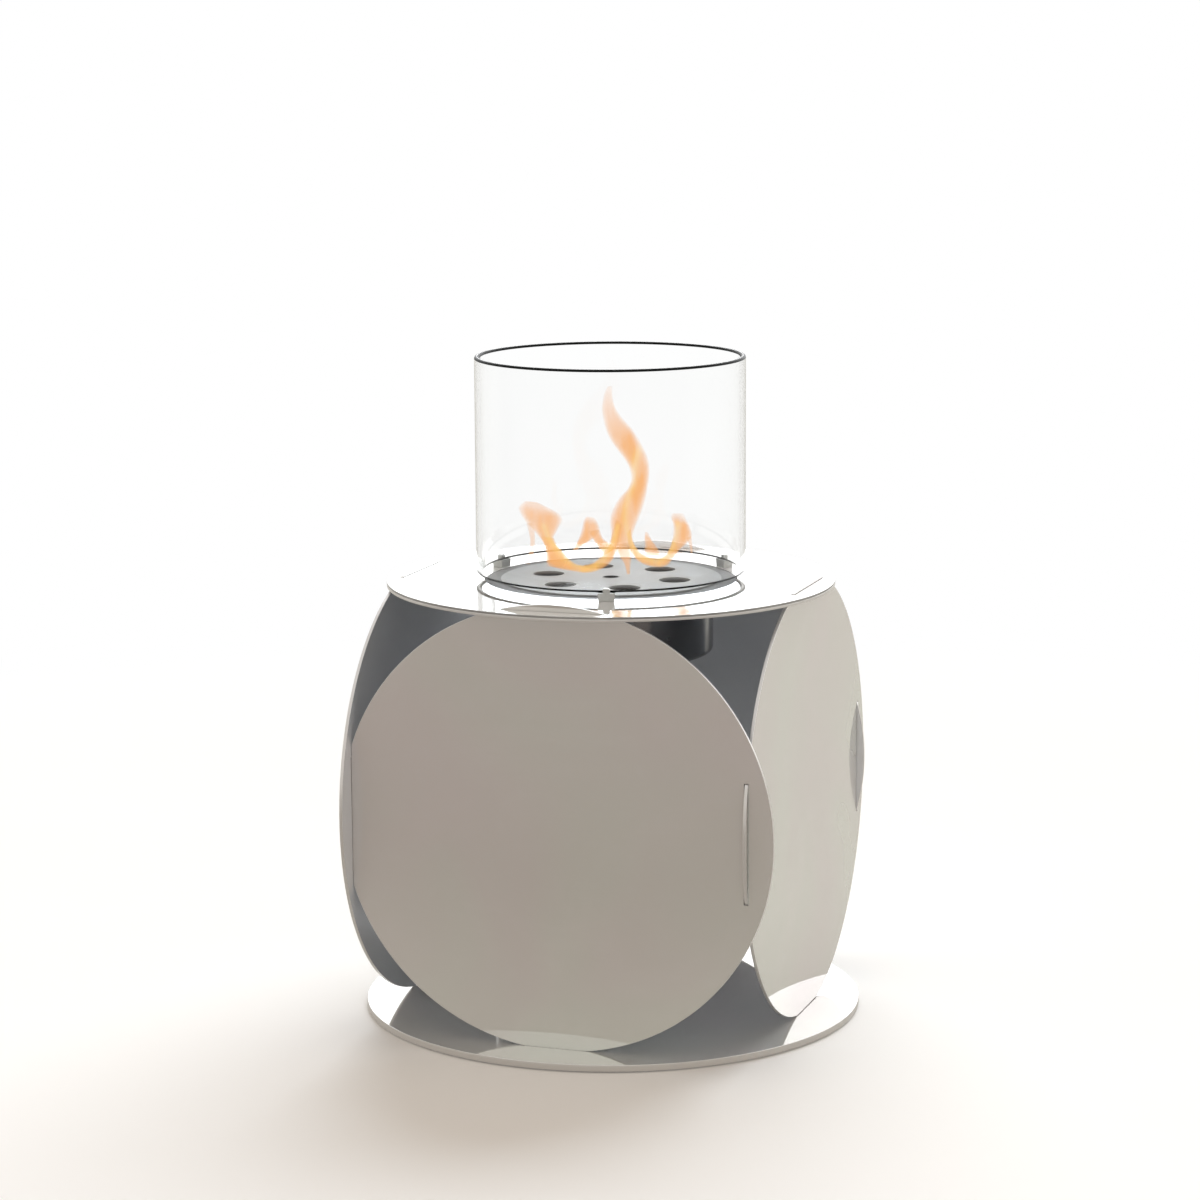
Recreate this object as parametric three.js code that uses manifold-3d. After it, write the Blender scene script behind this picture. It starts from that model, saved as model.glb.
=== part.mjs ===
// Bioethanol table fireplace: four flat steel discs interlock as a square pinwheel between a round base
// and a round top, and a burner hangs in the top under a loose glass cylinder.
// Millimetres, +Z up. The origin is on the floor at the middle of the base; +X is to the right of the
// front disc, whose outer face looks along -Y.
import * as THREE from "three";
import { mergeVertices } from "three/addons/utils/BufferGeometryUtils.js";
import Module from "manifold-3d";

const wasm = await Module();
wasm.setup();

// ---------------------------------------------------------------- driving sizes
// clearances
const SLIP = 0.3; // a piece beside the seat that locates it
const SLOT_CLEAR = 0.5; // each side of a sheet in its slot
const TURN_GAP = 0.1; // under the turning disc
const BORE_CLEAR = 0.3; // round a stud or screw

// the four standing discs
const PANEL_COUNT = 4;
const PANEL_RADIUS = 203.5;
const PANEL_THICKNESS = 3;
const PANEL_TIP = 7.3; // how far a disc's left rim stands out of its neighbour
const PANEL_SIDE_SHIFT = 7.9; // each disc stands this far to its own right
const PANEL_SEAT_DEPTH = 2.3; // how deep a disc stands in the base
const PANEL_FACE_OFFSET = PANEL_RADIUS - PANEL_SIDE_SHIFT - PANEL_TIP; // middle axis to a disc's outer face

// feet and base
const BASE_OVERHANG = 44.2; // from the discs' outer faces to the base's rim
const BASE_RADIUS = PANEL_FACE_OFFSET + BASE_OVERHANG;
const BASE_THICKNESS = 6;
const PLATE_EDGE_BREAK = 0.6;
const PAD_RADIUS = 12;
const PAD_HEIGHT = 1.5;
const PAD_INSET = 32.5; // from the base's rim to the middle of a pad

// top: a mirror plate on a backing plate whose smaller hole leaves a ledge for the burner
const TOP_OVERHANG = 19.7; // from the discs' outer faces to the top's rim
const TOP_RADIUS = PANEL_FACE_OFFSET + TOP_OVERHANG;
const TOP_PLATE_THICKNESS = 2;
const BACKING_THICKNESS = 2.5;
const BACKING_TOP_DROP = 8.2; // from the crest of the discs down to the backing plate's upper face

// glass cylinder and its three holders
const GLASS_RADIUS = 125;
const GLASS_WALL = 5;
const GLASS_HEIGHT = 200;
const GLASS_EDGE = 1.2;
const CLIP_COUNT = 3;
const CLIP_FIRST_ANGLE = -73.3; // degrees from +X
const CLIP_RISE = 7.5; // holds the glass this far above the top plate
const CLIP_TOP_WIDTH = 16;
const CLIP_FOOT_WIDTH = 14;
const CLIP_REACH = 6; // to either side of the glass's outer wall
const CLIP_STEM_WIDTH = 6.4;
const CLIP_STEM_RISE = 4.2;
const STUD_RADIUS = 2;
const NUT_ACROSS_FLATS = 7;
const NUT_HEIGHT = 3.2;

// burner, which lifts out through the glass
const DECK_GLASS_GAP = 3.7; // from the glass's inner wall to the deck's rim
const DECK_RADIUS = GLASS_RADIUS - GLASS_WALL - DECK_GLASS_GAP;
const DECK_THICKNESS = 1.5;
const DECK_EDGE_CLEAR = 0.7;
const TANK_INSET = 21.3; // from the deck's rim to the tank's wall
const TANK_RADIUS = DECK_RADIUS - TANK_INSET;
const TANK_WALL = 1.2;
const TANK_DEPTH = 67;
const TANK_CORNER = 6;
const TANK_HOLE_CLEAR = 1.5;
const FILL_BORE_RADIUS = 6.75;
const FILL_TUBE_WALL = 1;
const FILL_TUBE_DROP = 6; // below the deck
const WOOL_DROP = 23.8; // from the deck down to the ceramic fibre
const WOOL_CLEAR = 0.6;

// turning regulator disc
const COVER_INSET = 13.8; // from the deck's rim to the disc's rim
const COVER_RADIUS = DECK_RADIUS - COVER_INSET;
const COVER_THICKNESS = 1.5;
const FLAME_HOLE_COUNT = 6;
const FLAME_HOLE_RADIUS = 14.5;
const FLAME_HOLE_INSET = 26.3; // from the disc's rim to the edge of a flame hole
const FLAME_HOLE_RING = COVER_RADIUS - FLAME_HOLE_INSET - FLAME_HOLE_RADIUS;
const COVER_TURN = Math.PI / FLAME_HOLE_COUNT; // open to closed: half a hole pitch
const PIN_RADIUS = 1.1;
const PIN_INSET = 8.2; // from the disc's rim to the middle of the pin
const PIN_RING = COVER_RADIUS - PIN_INSET;
const PIN_GROOVE_DEPTH = 0.9;
const PIN_TIP_CLEAR = 0.25;

// angle brackets that tie the discs to the base
const BRACKET_WIDTH = 30;
const BRACKET_LEG = 18;
const BRACKET_SHEET = 2;
const SCREW_RADIUS = 2;
const SCREW_DEPTH = 4; // in the base
const SCREW_HEAD_RADIUS = 3.8;
const SCREW_HEAD_HEIGHT = 2.2;
const SCREW_SPREAD = 16; // between the two screws of a bracket

// ---------------------------------------------------------------- levels worked out from them
const baseTop = PAD_HEIGHT + BASE_THICKNESS;
const panelBottom = baseTop - PANEL_SEAT_DEPTH;
const panelCentre = panelBottom + PANEL_RADIUS;
const panelCrest = panelCentre + PANEL_RADIUS;
const backingTop = panelCrest - BACKING_TOP_DROP;
const backingBottom = backingTop - BACKING_THICKNESS;
const topFace = backingTop + TOP_PLATE_THICKNESS;
const deckTop = backingTop + DECK_THICKNESS;
const coverBottom = deckTop + TURN_GAP;
const coverTop = deckTop + COVER_THICKNESS;
const glassBottom = topFace + CLIP_RISE;
const tankBottom = backingTop - TANK_DEPTH;

const TAU = 2 * Math.PI;
const ROUND = 120; // facets of the large circles
const SMALL_ROUND = 32;
const quarter = TAU / PANEL_COUNT;

// ---------------------------------------------------------------- looks of the plain model
const steel = (color, roughness) => new THREE.MeshStandardMaterial({ color, roughness, metalness: 1 });
const mirrorSteel = steel(0xb9b6b0, 0.06);
const satinSteel = steel(0xcfcfcd, 0.35);
const darkSteel = steel(0x6d6f72, 0.25);
const clipSteel = steel(0x8f908a, 0.4);
const clearGlass = new THREE.MeshStandardMaterial({
  color: 0xf4fbfa,
  roughness: 0.02,
  metalness: 0,
  transparent: true,
  opacity: 0.25,
});
const feltBlack = new THREE.MeshStandardMaterial({ color: 0x1c1c1c, roughness: 0.9, metalness: 0 });
const woolWhite = new THREE.MeshStandardMaterial({ color: 0xd8d4c8, roughness: 1, metalness: 0 });

// ---------------------------------------------------------------- geometry helpers
function solidOf(geometry) {
  const bare = new THREE.BufferGeometry();
  bare.setAttribute("position", geometry.getAttribute("position").clone());
  if (geometry.index) bare.setIndex(geometry.index.clone());
  const merged = mergeVertices(bare, 1e-4);
  return new wasm.Manifold(
    new wasm.Mesh({
      numProp: 3,
      vertProperties: new Float32Array(merged.attributes.position.array),
      triVerts: new Uint32Array(merged.index.array),
    }),
  );
}

function geometryOf(solid) {
  const mesh = solid.getMesh();
  const geometry = new THREE.BufferGeometry();
  geometry.setAttribute("position", new THREE.BufferAttribute(mesh.vertProperties, 3));
  geometry.setIndex(new THREE.BufferAttribute(mesh.triVerts, 1));
  const flat = geometry.toNonIndexed();
  flat.computeVertexNormals();
  return flat;
}

// One geometry less others, and one joined to others.
const cut = (geometry, ...tools) =>
  geometryOf(tools.reduce((left, tool) => left.subtract(solidOf(tool)), solidOf(geometry)));
const join = (geometry, ...more) =>
  geometryOf(more.reduce((sum, piece) => sum.add(solidOf(piece)), solidOf(geometry)));

// A revolved closed profile of [radius, height] points, listed anticlockwise.
function revolve(points, facets) {
  const profile = points.map(([r, z]) => new THREE.Vector2(r, z));
  const closed = points.every(([r]) => r > 0) ? [...profile, profile[0].clone()] : profile;
  return new THREE.LatheGeometry(closed, facets).rotateX(Math.PI / 2);
}

// A flat sheet of the outline with holes, lying between two heights.
function sheet(outline, holes, low, high) {
  const shape = new THREE.Shape(outline);
  shape.holes = holes.map((points) => new THREE.Path(points));
  const geometry = new THREE.ExtrudeGeometry(shape, { depth: high - low, bevelEnabled: false, steps: 1 });
  return geometry.translate(0, 0, low);
}

function box(x0, x1, y0, y1, z0, z1) {
  return new THREE.BoxGeometry(x1 - x0, y1 - y0, z1 - z0).translate((x0 + x1) / 2, (y0 + y1) / 2, (z0 + z1) / 2);
}

// A sheet standing upright: [y, z] points, lying between two values of x.
function upright(points, from, to) {
  return sheet(points.map(([y, z]) => new THREE.Vector2(y, z)), [], from, to)
    .rotateX(Math.PI / 2)
    .rotateZ(Math.PI / 2);
}

function rod(radius, low, high, facets = SMALL_ROUND) {
  return new THREE.CylinderGeometry(radius, radius, high - low, facets)
    .rotateX(Math.PI / 2)
    .translate(0, 0, (low + high) / 2);
}

function circle(radius, facets, cx = 0, cy = 0) {
  return Array.from({ length: facets }, (_, i) => {
    const a = (TAU * i) / facets;
    return new THREE.Vector2(cx + radius * Math.cos(a), cy + radius * Math.sin(a));
  });
}

// Points of an arc about the origin, both ends included.
function arc(radius, from, to) {
  const steps = Math.max(1, Math.ceil((Math.abs(to - from) / TAU) * ROUND));
  return Array.from({ length: steps + 1 }, (_, i) => {
    const a = from + ((to - from) * i) / steps;
    return new THREE.Vector2(radius * Math.cos(a), radius * Math.sin(a));
  });
}

const chord = (radius, distance) => Math.sqrt(radius * radius - distance * distance);
const turned = (points, angle) =>
  points.map((p) => p.clone().rotateAround(new THREE.Vector2(0, 0), angle));

function piece(name, geometry, material) {
  const mesh = new THREE.Mesh(geometry, material);
  mesh.name = name;
  return mesh;
}

// A group turned to one of the equal places round the middle axis.
function place(angle, ...meshes) {
  const group = new THREE.Group();
  group.rotation.z = angle;
  group.add(...meshes);
  return group;
}

// ---------------------------------------------------------------- the discs' interlock
// In a disc's own plane u runs to its right and v runs up, from the disc's centre.
const faceToNeighbour = PANEL_FACE_OFFSET + PANEL_SIDE_SHIFT; // u of the neighbour's outer face, to the left
const tenonHalf = chord(PANEL_RADIUS, faceToNeighbour);
const tenonShoulder = faceToNeighbour - PANEL_THICKNESS - SLIP;
const crownShoulder = backingBottom - panelCentre;
const crownHalf = chord(PANEL_RADIUS, topFace - panelCentre);
const seatHalf = chord(PANEL_RADIUS, baseTop - panelCentre);
const slotMiddle = PANEL_FACE_OFFSET - PANEL_THICKNESS / 2 - PANEL_SIDE_SHIFT;
const slotHalfWidth = PANEL_THICKNESS / 2 + SLOT_CLEAR;

// Outline: a full disc, less the two corners each of the left tenon and of the crown, which leave the
// shoulders that bear on the neighbour's inner face and under the backing plate.
function panelOutline() {
  const R = PANEL_RADIUS;
  const crownAngle = Math.asin(crownShoulder / R);
  const crownTip = Math.acos(crownHalf / R);
  const shoulderAngle = Math.acos(-tenonShoulder / R);
  const tenonAngle = Math.PI - Math.asin(tenonHalf / R);
  return [
    ...arc(R, -Math.PI / 2, crownAngle),
    new THREE.Vector2(crownHalf, crownShoulder),
    ...arc(R, crownTip, Math.PI - crownTip),
    new THREE.Vector2(-crownHalf, crownShoulder),
    ...arc(R, Math.PI - crownAngle, shoulderAngle),
    new THREE.Vector2(-tenonShoulder, tenonHalf),
    ...arc(R, tenonAngle, TAU - tenonAngle),
    new THREE.Vector2(-tenonShoulder, -tenonHalf),
    ...arc(R, TAU - shoulderAngle, 1.5 * Math.PI).slice(0, -1),
  ];
}

function panelGeometry() {
  const low = -tenonHalf - SLOT_CLEAR;
  const slot = [
    new THREE.Vector2(slotMiddle - slotHalfWidth, low),
    new THREE.Vector2(slotMiddle + slotHalfWidth, low),
    new THREE.Vector2(slotMiddle + slotHalfWidth, -low),
    new THREE.Vector2(slotMiddle - slotHalfWidth, -low),
  ];
  return sheet(panelOutline(), [slot], PANEL_FACE_OFFSET - PANEL_THICKNESS, PANEL_FACE_OFFSET)
    .rotateX(Math.PI / 2)
    .translate(PANEL_SIDE_SHIFT, 0, panelCentre);
}

// The rectangle that a disc's edge takes through a level plate, for the front disc.
function plateSlot(half) {
  const x0 = PANEL_SIDE_SHIFT - half - SLOT_CLEAR;
  const x1 = PANEL_SIDE_SHIFT + half + SLOT_CLEAR;
  const y0 = -PANEL_FACE_OFFSET - SLOT_CLEAR;
  const y1 = -PANEL_FACE_OFFSET + PANEL_THICKNESS + SLOT_CLEAR;
  return [
    new THREE.Vector2(x0, y0),
    new THREE.Vector2(x1, y0),
    new THREE.Vector2(x1, y1),
    new THREE.Vector2(x0, y1),
  ];
}

const sides = ["front", "right", "back", "left"];
const model = new THREE.Group();

sides.forEach((side, i) => {
  model.add(place(i * quarter, piece(`panel_${side}`, panelGeometry(), mirrorSteel)));
});

// ---------------------------------------------------------------- base, pads
const bracketBack = -PANEL_FACE_OFFSET + PANEL_THICKNESS + SLIP;
const screwPlaces = [-SCREW_SPREAD / 2, SCREW_SPREAD / 2].map((x) => [
  x + PANEL_SIDE_SHIFT,
  bracketBack + (BRACKET_LEG + BRACKET_SHEET) / 2,
]);

function basePlate() {
  const e = PLATE_EDGE_BREAK;
  const disc = revolve(
    [
      [0, PAD_HEIGHT],
      [BASE_RADIUS - e, PAD_HEIGHT],
      [BASE_RADIUS, PAD_HEIGHT + e],
      [BASE_RADIUS, baseTop - e],
      [BASE_RADIUS - e, baseTop],
      [0, baseTop],
    ],
    ROUND,
  );
  const grooveFloor = panelBottom - SLIP;
  const [a, , c] = plateSlot(seatHalf);
  const grooves = sides.map((_, i) => box(a.x, c.x, a.y, c.y, grooveFloor, baseTop + 1).rotateZ(i * quarter));
  const bores = sides.flatMap((_, i) =>
    screwPlaces.map(([x, y]) =>
      rod(SCREW_RADIUS + BORE_CLEAR, baseTop - SCREW_DEPTH, baseTop + 1, 16).translate(x, y, 0).rotateZ(i * quarter),
    ),
  );
  return cut(disc, ...grooves, ...bores);
}
model.add(piece("base_plate", basePlate(), mirrorSteel));

const padTurn = quarter / 2;
sides.forEach((side, i) => {
  const pad = rod(PAD_RADIUS, 0, PAD_HEIGHT).translate(BASE_RADIUS - PAD_INSET, 0, 0);
  model.add(place(i * quarter + padTurn, piece(`pad_${i + 1}`, pad, feltBlack)));
});

// ---------------------------------------------------------------- brackets between discs and base
// An angle of folded sheet: one leg up the disc's inner face, one along the base, two screws in that one.
function bracketGeometry() {
  const [y0, z0, t] = [bracketBack, baseTop, BRACKET_SHEET];
  const angle = upright(
    [
      [y0 + t / 2, z0],
      [y0 + BRACKET_LEG, z0],
      [y0 + BRACKET_LEG, z0 + t],
      [y0 + 1.6 * t, z0 + t],
      [y0 + t, z0 + 1.6 * t],
      [y0 + t, z0 + BRACKET_LEG],
      [y0, z0 + BRACKET_LEG],
      [y0, z0 + t / 2],
    ],
    PANEL_SIDE_SHIFT - BRACKET_WIDTH / 2,
    PANEL_SIDE_SHIFT + BRACKET_WIDTH / 2,
  );
  const bores = screwPlaces.map(([x, y]) => rod(SCREW_RADIUS + BORE_CLEAR, z0 - 1, z0 + t + 1, 16).translate(x, y, 0));
  return cut(angle, ...bores);
}

function screwGeometry(x, y) {
  const seat = baseTop + BRACKET_SHEET;
  const e = SCREW_HEAD_HEIGHT / 2;
  return revolve(
    [
      [0, baseTop - SCREW_DEPTH + SLIP],
      [SCREW_RADIUS, baseTop - SCREW_DEPTH + SLIP],
      [SCREW_RADIUS, seat],
      [SCREW_HEAD_RADIUS, seat],
      [SCREW_HEAD_RADIUS, seat + e],
      [SCREW_HEAD_RADIUS - e, seat + 2 * e],
      [0, seat + 2 * e],
    ],
    12,
  ).translate(x, y, 0);
}

sides.forEach((side, i) => {
  const screws = screwPlaces.map(([x, y], k) => piece(`screw_${side}_${k + 1}`, screwGeometry(x, y), darkSteel));
  model.add(place(i * quarter, piece(`bracket_${side}`, bracketGeometry(), satinSteel), ...screws));
});

// ---------------------------------------------------------------- top plates
const plateSlots = sides.map((_, i) => turned(plateSlot(crownHalf), i * quarter));
const clipAngles = Array.from(
  { length: CLIP_COUNT },
  (_, i) => THREE.MathUtils.degToRad(CLIP_FIRST_ANGLE) + (TAU * i) / CLIP_COUNT,
);
const studHoles = clipAngles.map((a) =>
  circle(STUD_RADIUS + BORE_CLEAR, 16, GLASS_RADIUS * Math.cos(a), GLASS_RADIUS * Math.sin(a)),
);

model.add(
  piece(
    "top_backing",
    sheet(
      circle(TOP_RADIUS, ROUND),
      [circle(TANK_RADIUS + TANK_HOLE_CLEAR, ROUND), ...plateSlots, ...studHoles],
      backingBottom,
      backingTop,
    ),
    mirrorSteel,
  ),
  piece(
    "top_plate",
    sheet(
      circle(TOP_RADIUS, ROUND),
      [circle(DECK_RADIUS + DECK_EDGE_CLEAR, ROUND), ...plateSlots, ...studHoles],
      backingTop,
      topFace,
    ),
    mirrorSteel,
  ),
);

// ---------------------------------------------------------------- burner
const flameHoles = Array.from({ length: FLAME_HOLE_COUNT }, (_, i) => {
  const a = (TAU * i) / FLAME_HOLE_COUNT;
  return circle(FLAME_HOLE_RADIUS, SMALL_ROUND, FLAME_HOLE_RING * Math.cos(a), FLAME_HOLE_RING * Math.sin(a));
});
const fillTubeRadius = FILL_BORE_RADIUS + FILL_TUBE_WALL;

// The arc that the regulator's stop pin runs in.
function grooveOutline() {
  const r = PIN_RADIUS + BORE_CLEAR;
  const end = (angle, from) =>
    Array.from({ length: 9 }, (_, i) => {
      const a = from + (Math.PI * i) / 8;
      return new THREE.Vector2(
        PIN_RING * Math.cos(angle) + r * Math.cos(angle + a),
        PIN_RING * Math.sin(angle) + r * Math.sin(angle + a),
      );
    });
  return [
    ...arc(PIN_RING + r, 0, COVER_TURN).slice(1, -1),
    ...end(COVER_TURN, 0),
    ...arc(PIN_RING - r, COVER_TURN, 0).slice(1, -1),
    ...end(0, Math.PI),
  ];
}

function deckGeometry() {
  const plate = sheet(
    circle(DECK_RADIUS, ROUND),
    [...flameHoles, circle(FILL_BORE_RADIUS, SMALL_ROUND)],
    backingTop,
    deckTop,
  );
  const tube = sheet(
    circle(fillTubeRadius, SMALL_ROUND),
    [circle(FILL_BORE_RADIUS, SMALL_ROUND)],
    backingTop - FILL_TUBE_DROP,
    coverTop,
  );
  const groove = sheet(grooveOutline(), [], deckTop - PIN_GROOVE_DEPTH, deckTop + 1);
  return cut(join(plate, tube), groove);
}
model.add(piece("burner_deck", deckGeometry(), satinSteel));

function tankGeometry() {
  const R = TANK_RADIUS;
  const r = R - TANK_WALL;
  const corner = (radius, z, from) =>
    Array.from({ length: 4 }, (_, i) => {
      const a = from + ((Math.PI / 2) * i) / 3;
      return [r - (TANK_CORNER - TANK_WALL) + radius * Math.cos(a), z + radius * Math.sin(a)];
    });
  const cornerZ = tankBottom + TANK_CORNER;
  const inner = corner(TANK_CORNER - TANK_WALL, cornerZ, -Math.PI / 2).reverse();
  return revolve(
    [
      [0, tankBottom],
      ...corner(TANK_CORNER, cornerZ, -Math.PI / 2),
      [R, backingTop],
      [r, backingTop],
      ...inner,
      [0, tankBottom + TANK_WALL],
    ],
    80,
  );
}
model.add(piece("burner_tank", tankGeometry(), darkSteel));

const woolBottom = tankBottom + TANK_WALL;
const woolTop = backingTop - WOOL_DROP;
model.add(
  piece(
    "burner_wool",
    revolve(
      [
        [0, woolBottom],
        [TANK_RADIUS - TANK_CORNER - WOOL_CLEAR, woolBottom],
        [TANK_RADIUS - TANK_WALL - WOOL_CLEAR, woolBottom + TANK_CORNER],
        [TANK_RADIUS - TANK_WALL - WOOL_CLEAR, woolTop],
        [0, woolTop],
      ],
      64,
    ),
    woolWhite,
  ),
);

// ---------------------------------------------------------------- regulator disc and its stop pin
model.add(
  piece(
    "regulator_disc",
    sheet(
      circle(COVER_RADIUS, ROUND),
      [
        ...flameHoles,
        circle(fillTubeRadius + BORE_CLEAR, SMALL_ROUND),
        circle(PIN_RADIUS + BORE_CLEAR / 2, 16, PIN_RING, 0),
      ],
      coverBottom,
      coverTop,
    ),
    satinSteel,
  ),
  piece(
    "regulator_pin",
    rod(PIN_RADIUS, deckTop - PIN_GROOVE_DEPTH + PIN_TIP_CLEAR, coverTop, 16).translate(PIN_RING, 0, 0),
    darkSteel,
  ),
);

// ---------------------------------------------------------------- glass and its holders
function glassGeometry() {
  const [R, r, e] = [GLASS_RADIUS, GLASS_RADIUS - GLASS_WALL, GLASS_EDGE];
  const top = glassBottom + GLASS_HEIGHT;
  return revolve(
    [
      [r, glassBottom],
      [R, glassBottom],
      [R, top - e],
      [R - e, top],
      [r + e, top],
      [r, top - e],
    ],
    ROUND,
  );
}
model.add(piece("glass_cylinder", glassGeometry(), clearGlass));

function clipGeometry() {
  const foot = CLIP_FOOT_WIDTH / 2;
  const top = CLIP_TOP_WIDTH / 2;
  const stem = CLIP_STEM_WIDTH / 2;
  const tip = glassBottom + CLIP_STEM_RISE;
  const body = upright(
    [
      [-foot, topFace],
      [foot, topFace],
      [top, glassBottom],
      [-top, glassBottom],
    ],
    GLASS_RADIUS - CLIP_REACH,
    GLASS_RADIUS + CLIP_REACH,
  );
  const post = upright(
    [
      [-stem, topFace],
      [stem, topFace],
      [stem, tip - 1],
      [stem - 1, tip],
      [1 - stem, tip],
      [-stem, tip - 1],
    ],
    GLASS_RADIUS + SLIP,
    GLASS_RADIUS + CLIP_REACH,
  );
  const stud = rod(STUD_RADIUS, backingBottom - NUT_HEIGHT - 1, topFace + 1, 16).translate(GLASS_RADIUS, 0, 0);
  return join(body, post, stud);
}

function nutGeometry() {
  const hex = circle(NUT_ACROSS_FLATS / Math.sqrt(3), 6);
  return sheet(hex, [circle(STUD_RADIUS + BORE_CLEAR, 16)], backingBottom - NUT_HEIGHT, backingBottom).translate(
    GLASS_RADIUS,
    0,
    0,
  );
}

clipAngles.forEach((angle, i) => {
  model.add(
    place(
      angle,
      piece(`glass_clip_${i + 1}`, clipGeometry(), clipSteel),
      piece(`clip_nut_${i + 1}`, nutGeometry(), darkSteel),
    ),
  );
});

export default model;
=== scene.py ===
"""Dresses the bioethanol fireplace: mirror-polished discs, base and top, the burner with its regulator,
the glass cylinder and the flames. All lengths are metres in the part's own frame, +Z up."""

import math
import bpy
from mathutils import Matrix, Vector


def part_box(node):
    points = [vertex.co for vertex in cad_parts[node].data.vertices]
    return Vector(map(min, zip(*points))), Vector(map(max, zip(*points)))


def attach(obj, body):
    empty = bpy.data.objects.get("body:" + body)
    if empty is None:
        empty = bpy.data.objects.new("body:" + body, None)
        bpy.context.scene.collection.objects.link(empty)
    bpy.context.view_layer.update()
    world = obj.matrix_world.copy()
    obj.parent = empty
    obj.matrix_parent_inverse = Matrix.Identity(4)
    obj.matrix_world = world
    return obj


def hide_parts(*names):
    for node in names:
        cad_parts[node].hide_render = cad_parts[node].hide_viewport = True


bl_info = {
    "name": "Bioethanol fireplace",
    "version": (1, 0, 0),
    "blender": (4, 5, 0),
    "location": "3D View > Sidebar > Fireplace",
    "description": "Builds the polished sheet work, burner, glass and flames of a round bioethanol fireplace",
    "category": "Object",
}

import bmesh
import bpy
from mathutils import Matrix, Vector, noise

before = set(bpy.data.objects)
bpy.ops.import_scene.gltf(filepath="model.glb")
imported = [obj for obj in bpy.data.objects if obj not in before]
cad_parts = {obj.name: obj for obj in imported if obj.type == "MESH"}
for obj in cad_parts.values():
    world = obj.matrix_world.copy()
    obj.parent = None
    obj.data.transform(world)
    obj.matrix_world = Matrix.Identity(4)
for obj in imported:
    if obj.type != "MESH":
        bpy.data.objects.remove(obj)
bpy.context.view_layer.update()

TAU = 2 * math.pi
QUARTER = math.pi / 2
SIDES = ("front", "right", "back", "left")

# ---------------------------------------------- sizes read from the frame
base_low, base_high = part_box("base_plate")
panel_low, panel_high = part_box("panel_front")
top_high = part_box("top_plate")[1]
backing_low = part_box("top_backing")[0]
deck_low, deck_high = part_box("burner_deck")
tank_low, tank_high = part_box("burner_tank")
wool_low, wool_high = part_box("burner_wool")
cover_low, cover_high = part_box("regulator_disc")
glass_low, glass_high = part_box("glass_cylinder")
bracket_low, bracket_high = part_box("bracket_front")
pin_low, pin_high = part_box("regulator_pin")

PANEL_RADIUS = (panel_high - panel_low).z / 2
PANEL_MIDDLE = Vector(((panel_low.x + panel_high.x) / 2, 0, (panel_low.z + panel_high.z) / 2))
PANEL_FACE = -panel_low.y  # from the middle axis to the outer face
PANEL_SHEET = (panel_high - panel_low).y
DECK_RADIUS = deck_high.x
COVER_RADIUS = cover_high.x
TANK_RADIUS = tank_high.x
GLASS_RADIUS = glass_high.x
PIN_RING = (pin_low.x + pin_high.x) / 2
PIN_RADIUS = (pin_high - pin_low).x / 2

# ---------------------------------------------- sizes that the frame doesn't give
SLOT_CLEAR = 0.0005  # beside a disc in a slot
SHOULDER_CLEAR = 0.0003  # under a disc's foot, and behind its shoulders
GLASS_WALL = 0.005
GLASS_FOOT = 0.0014  # bevel of the glass's lower edge
HOLE_COUNT = 6
HOLE_RADIUS = 0.0145
HOLE_RING = 0.0617
BORE_RADIUS = 0.00675
TUBE_RADIUS = 0.00775
CLIP_FIRST = math.radians(-73.3)
CLIP_REACH = 0.006
PLAY = 0.0001  # between the deck and the regulator disc that slides on it
DECK_CLEAR = 0.0007  # round the deck, in the top plate
TANK_CLEAR = 0.0015  # round the tank, in the plate under it
TUBE_CLEAR = 0.0003  # round the filling tube, in the regulator disc
PIN_CLEAR = 0.00015  # round the stop pin, in the regulator disc
STUD_RADIUS = 0.002  # shank of a screw or of a holder
STUD_HOLE = 0.0023
STUD_BEVEL = 0.0003
SMALL_ROUND = 0.0003  # rounding of small parts
BRACKET_SHEET = 0.002
BRACKET_BEND = 0.0032
TANK_SHEET = 0.0012
TANK_BEND = 0.006
NUT_HEIGHT = 0.0032
NUT_ACROSS = 0.007


# ---------------------------------------------- settings a user would change
def length_setting(name, description, default, low, high):
    return bpy.props.FloatProperty(
        name=name, description=description, default=default, min=low, max=high, unit="LENGTH")


def angle_setting(name, description, degrees):
    return bpy.props.FloatProperty(
        name=name, description=description, default=math.radians(degrees), unit="ROTATION")


def colour_setting(name, description, *default, top=1):
    return bpy.props.FloatVectorProperty(
        name=name, description=description, subtype="COLOR", default=default, min=0, max=top)


class FireplaceSizes(bpy.types.PropertyGroup):
    edge_round: length_setting(
        "Sheet edge rounding", "Radius of the polished edges of the discs and plates", 0.0003, 0.00005, 0.001)
    round_steps: bpy.props.IntProperty(
        name="Facets of a large circle", description="How finely the discs, plates and the glass are divided",
        default=320, min=48, max=720)
    glass_edge: length_setting(
        "Glass edge", "Width of the fire-polished edge at the top of the glass", 0.0022, 0.0003, 0.0024)
    flame_height: bpy.props.FloatProperty(
        name="Flame height", description="Height of the tallest flame over the burner, as a factor",
        default=1.0, min=0.3, max=1.1, subtype="FACTOR")
    flame_turn: angle_setting(
        "Flame heading", "Which way the broad side of the flames faces, from straight in front", 18.6)


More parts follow.
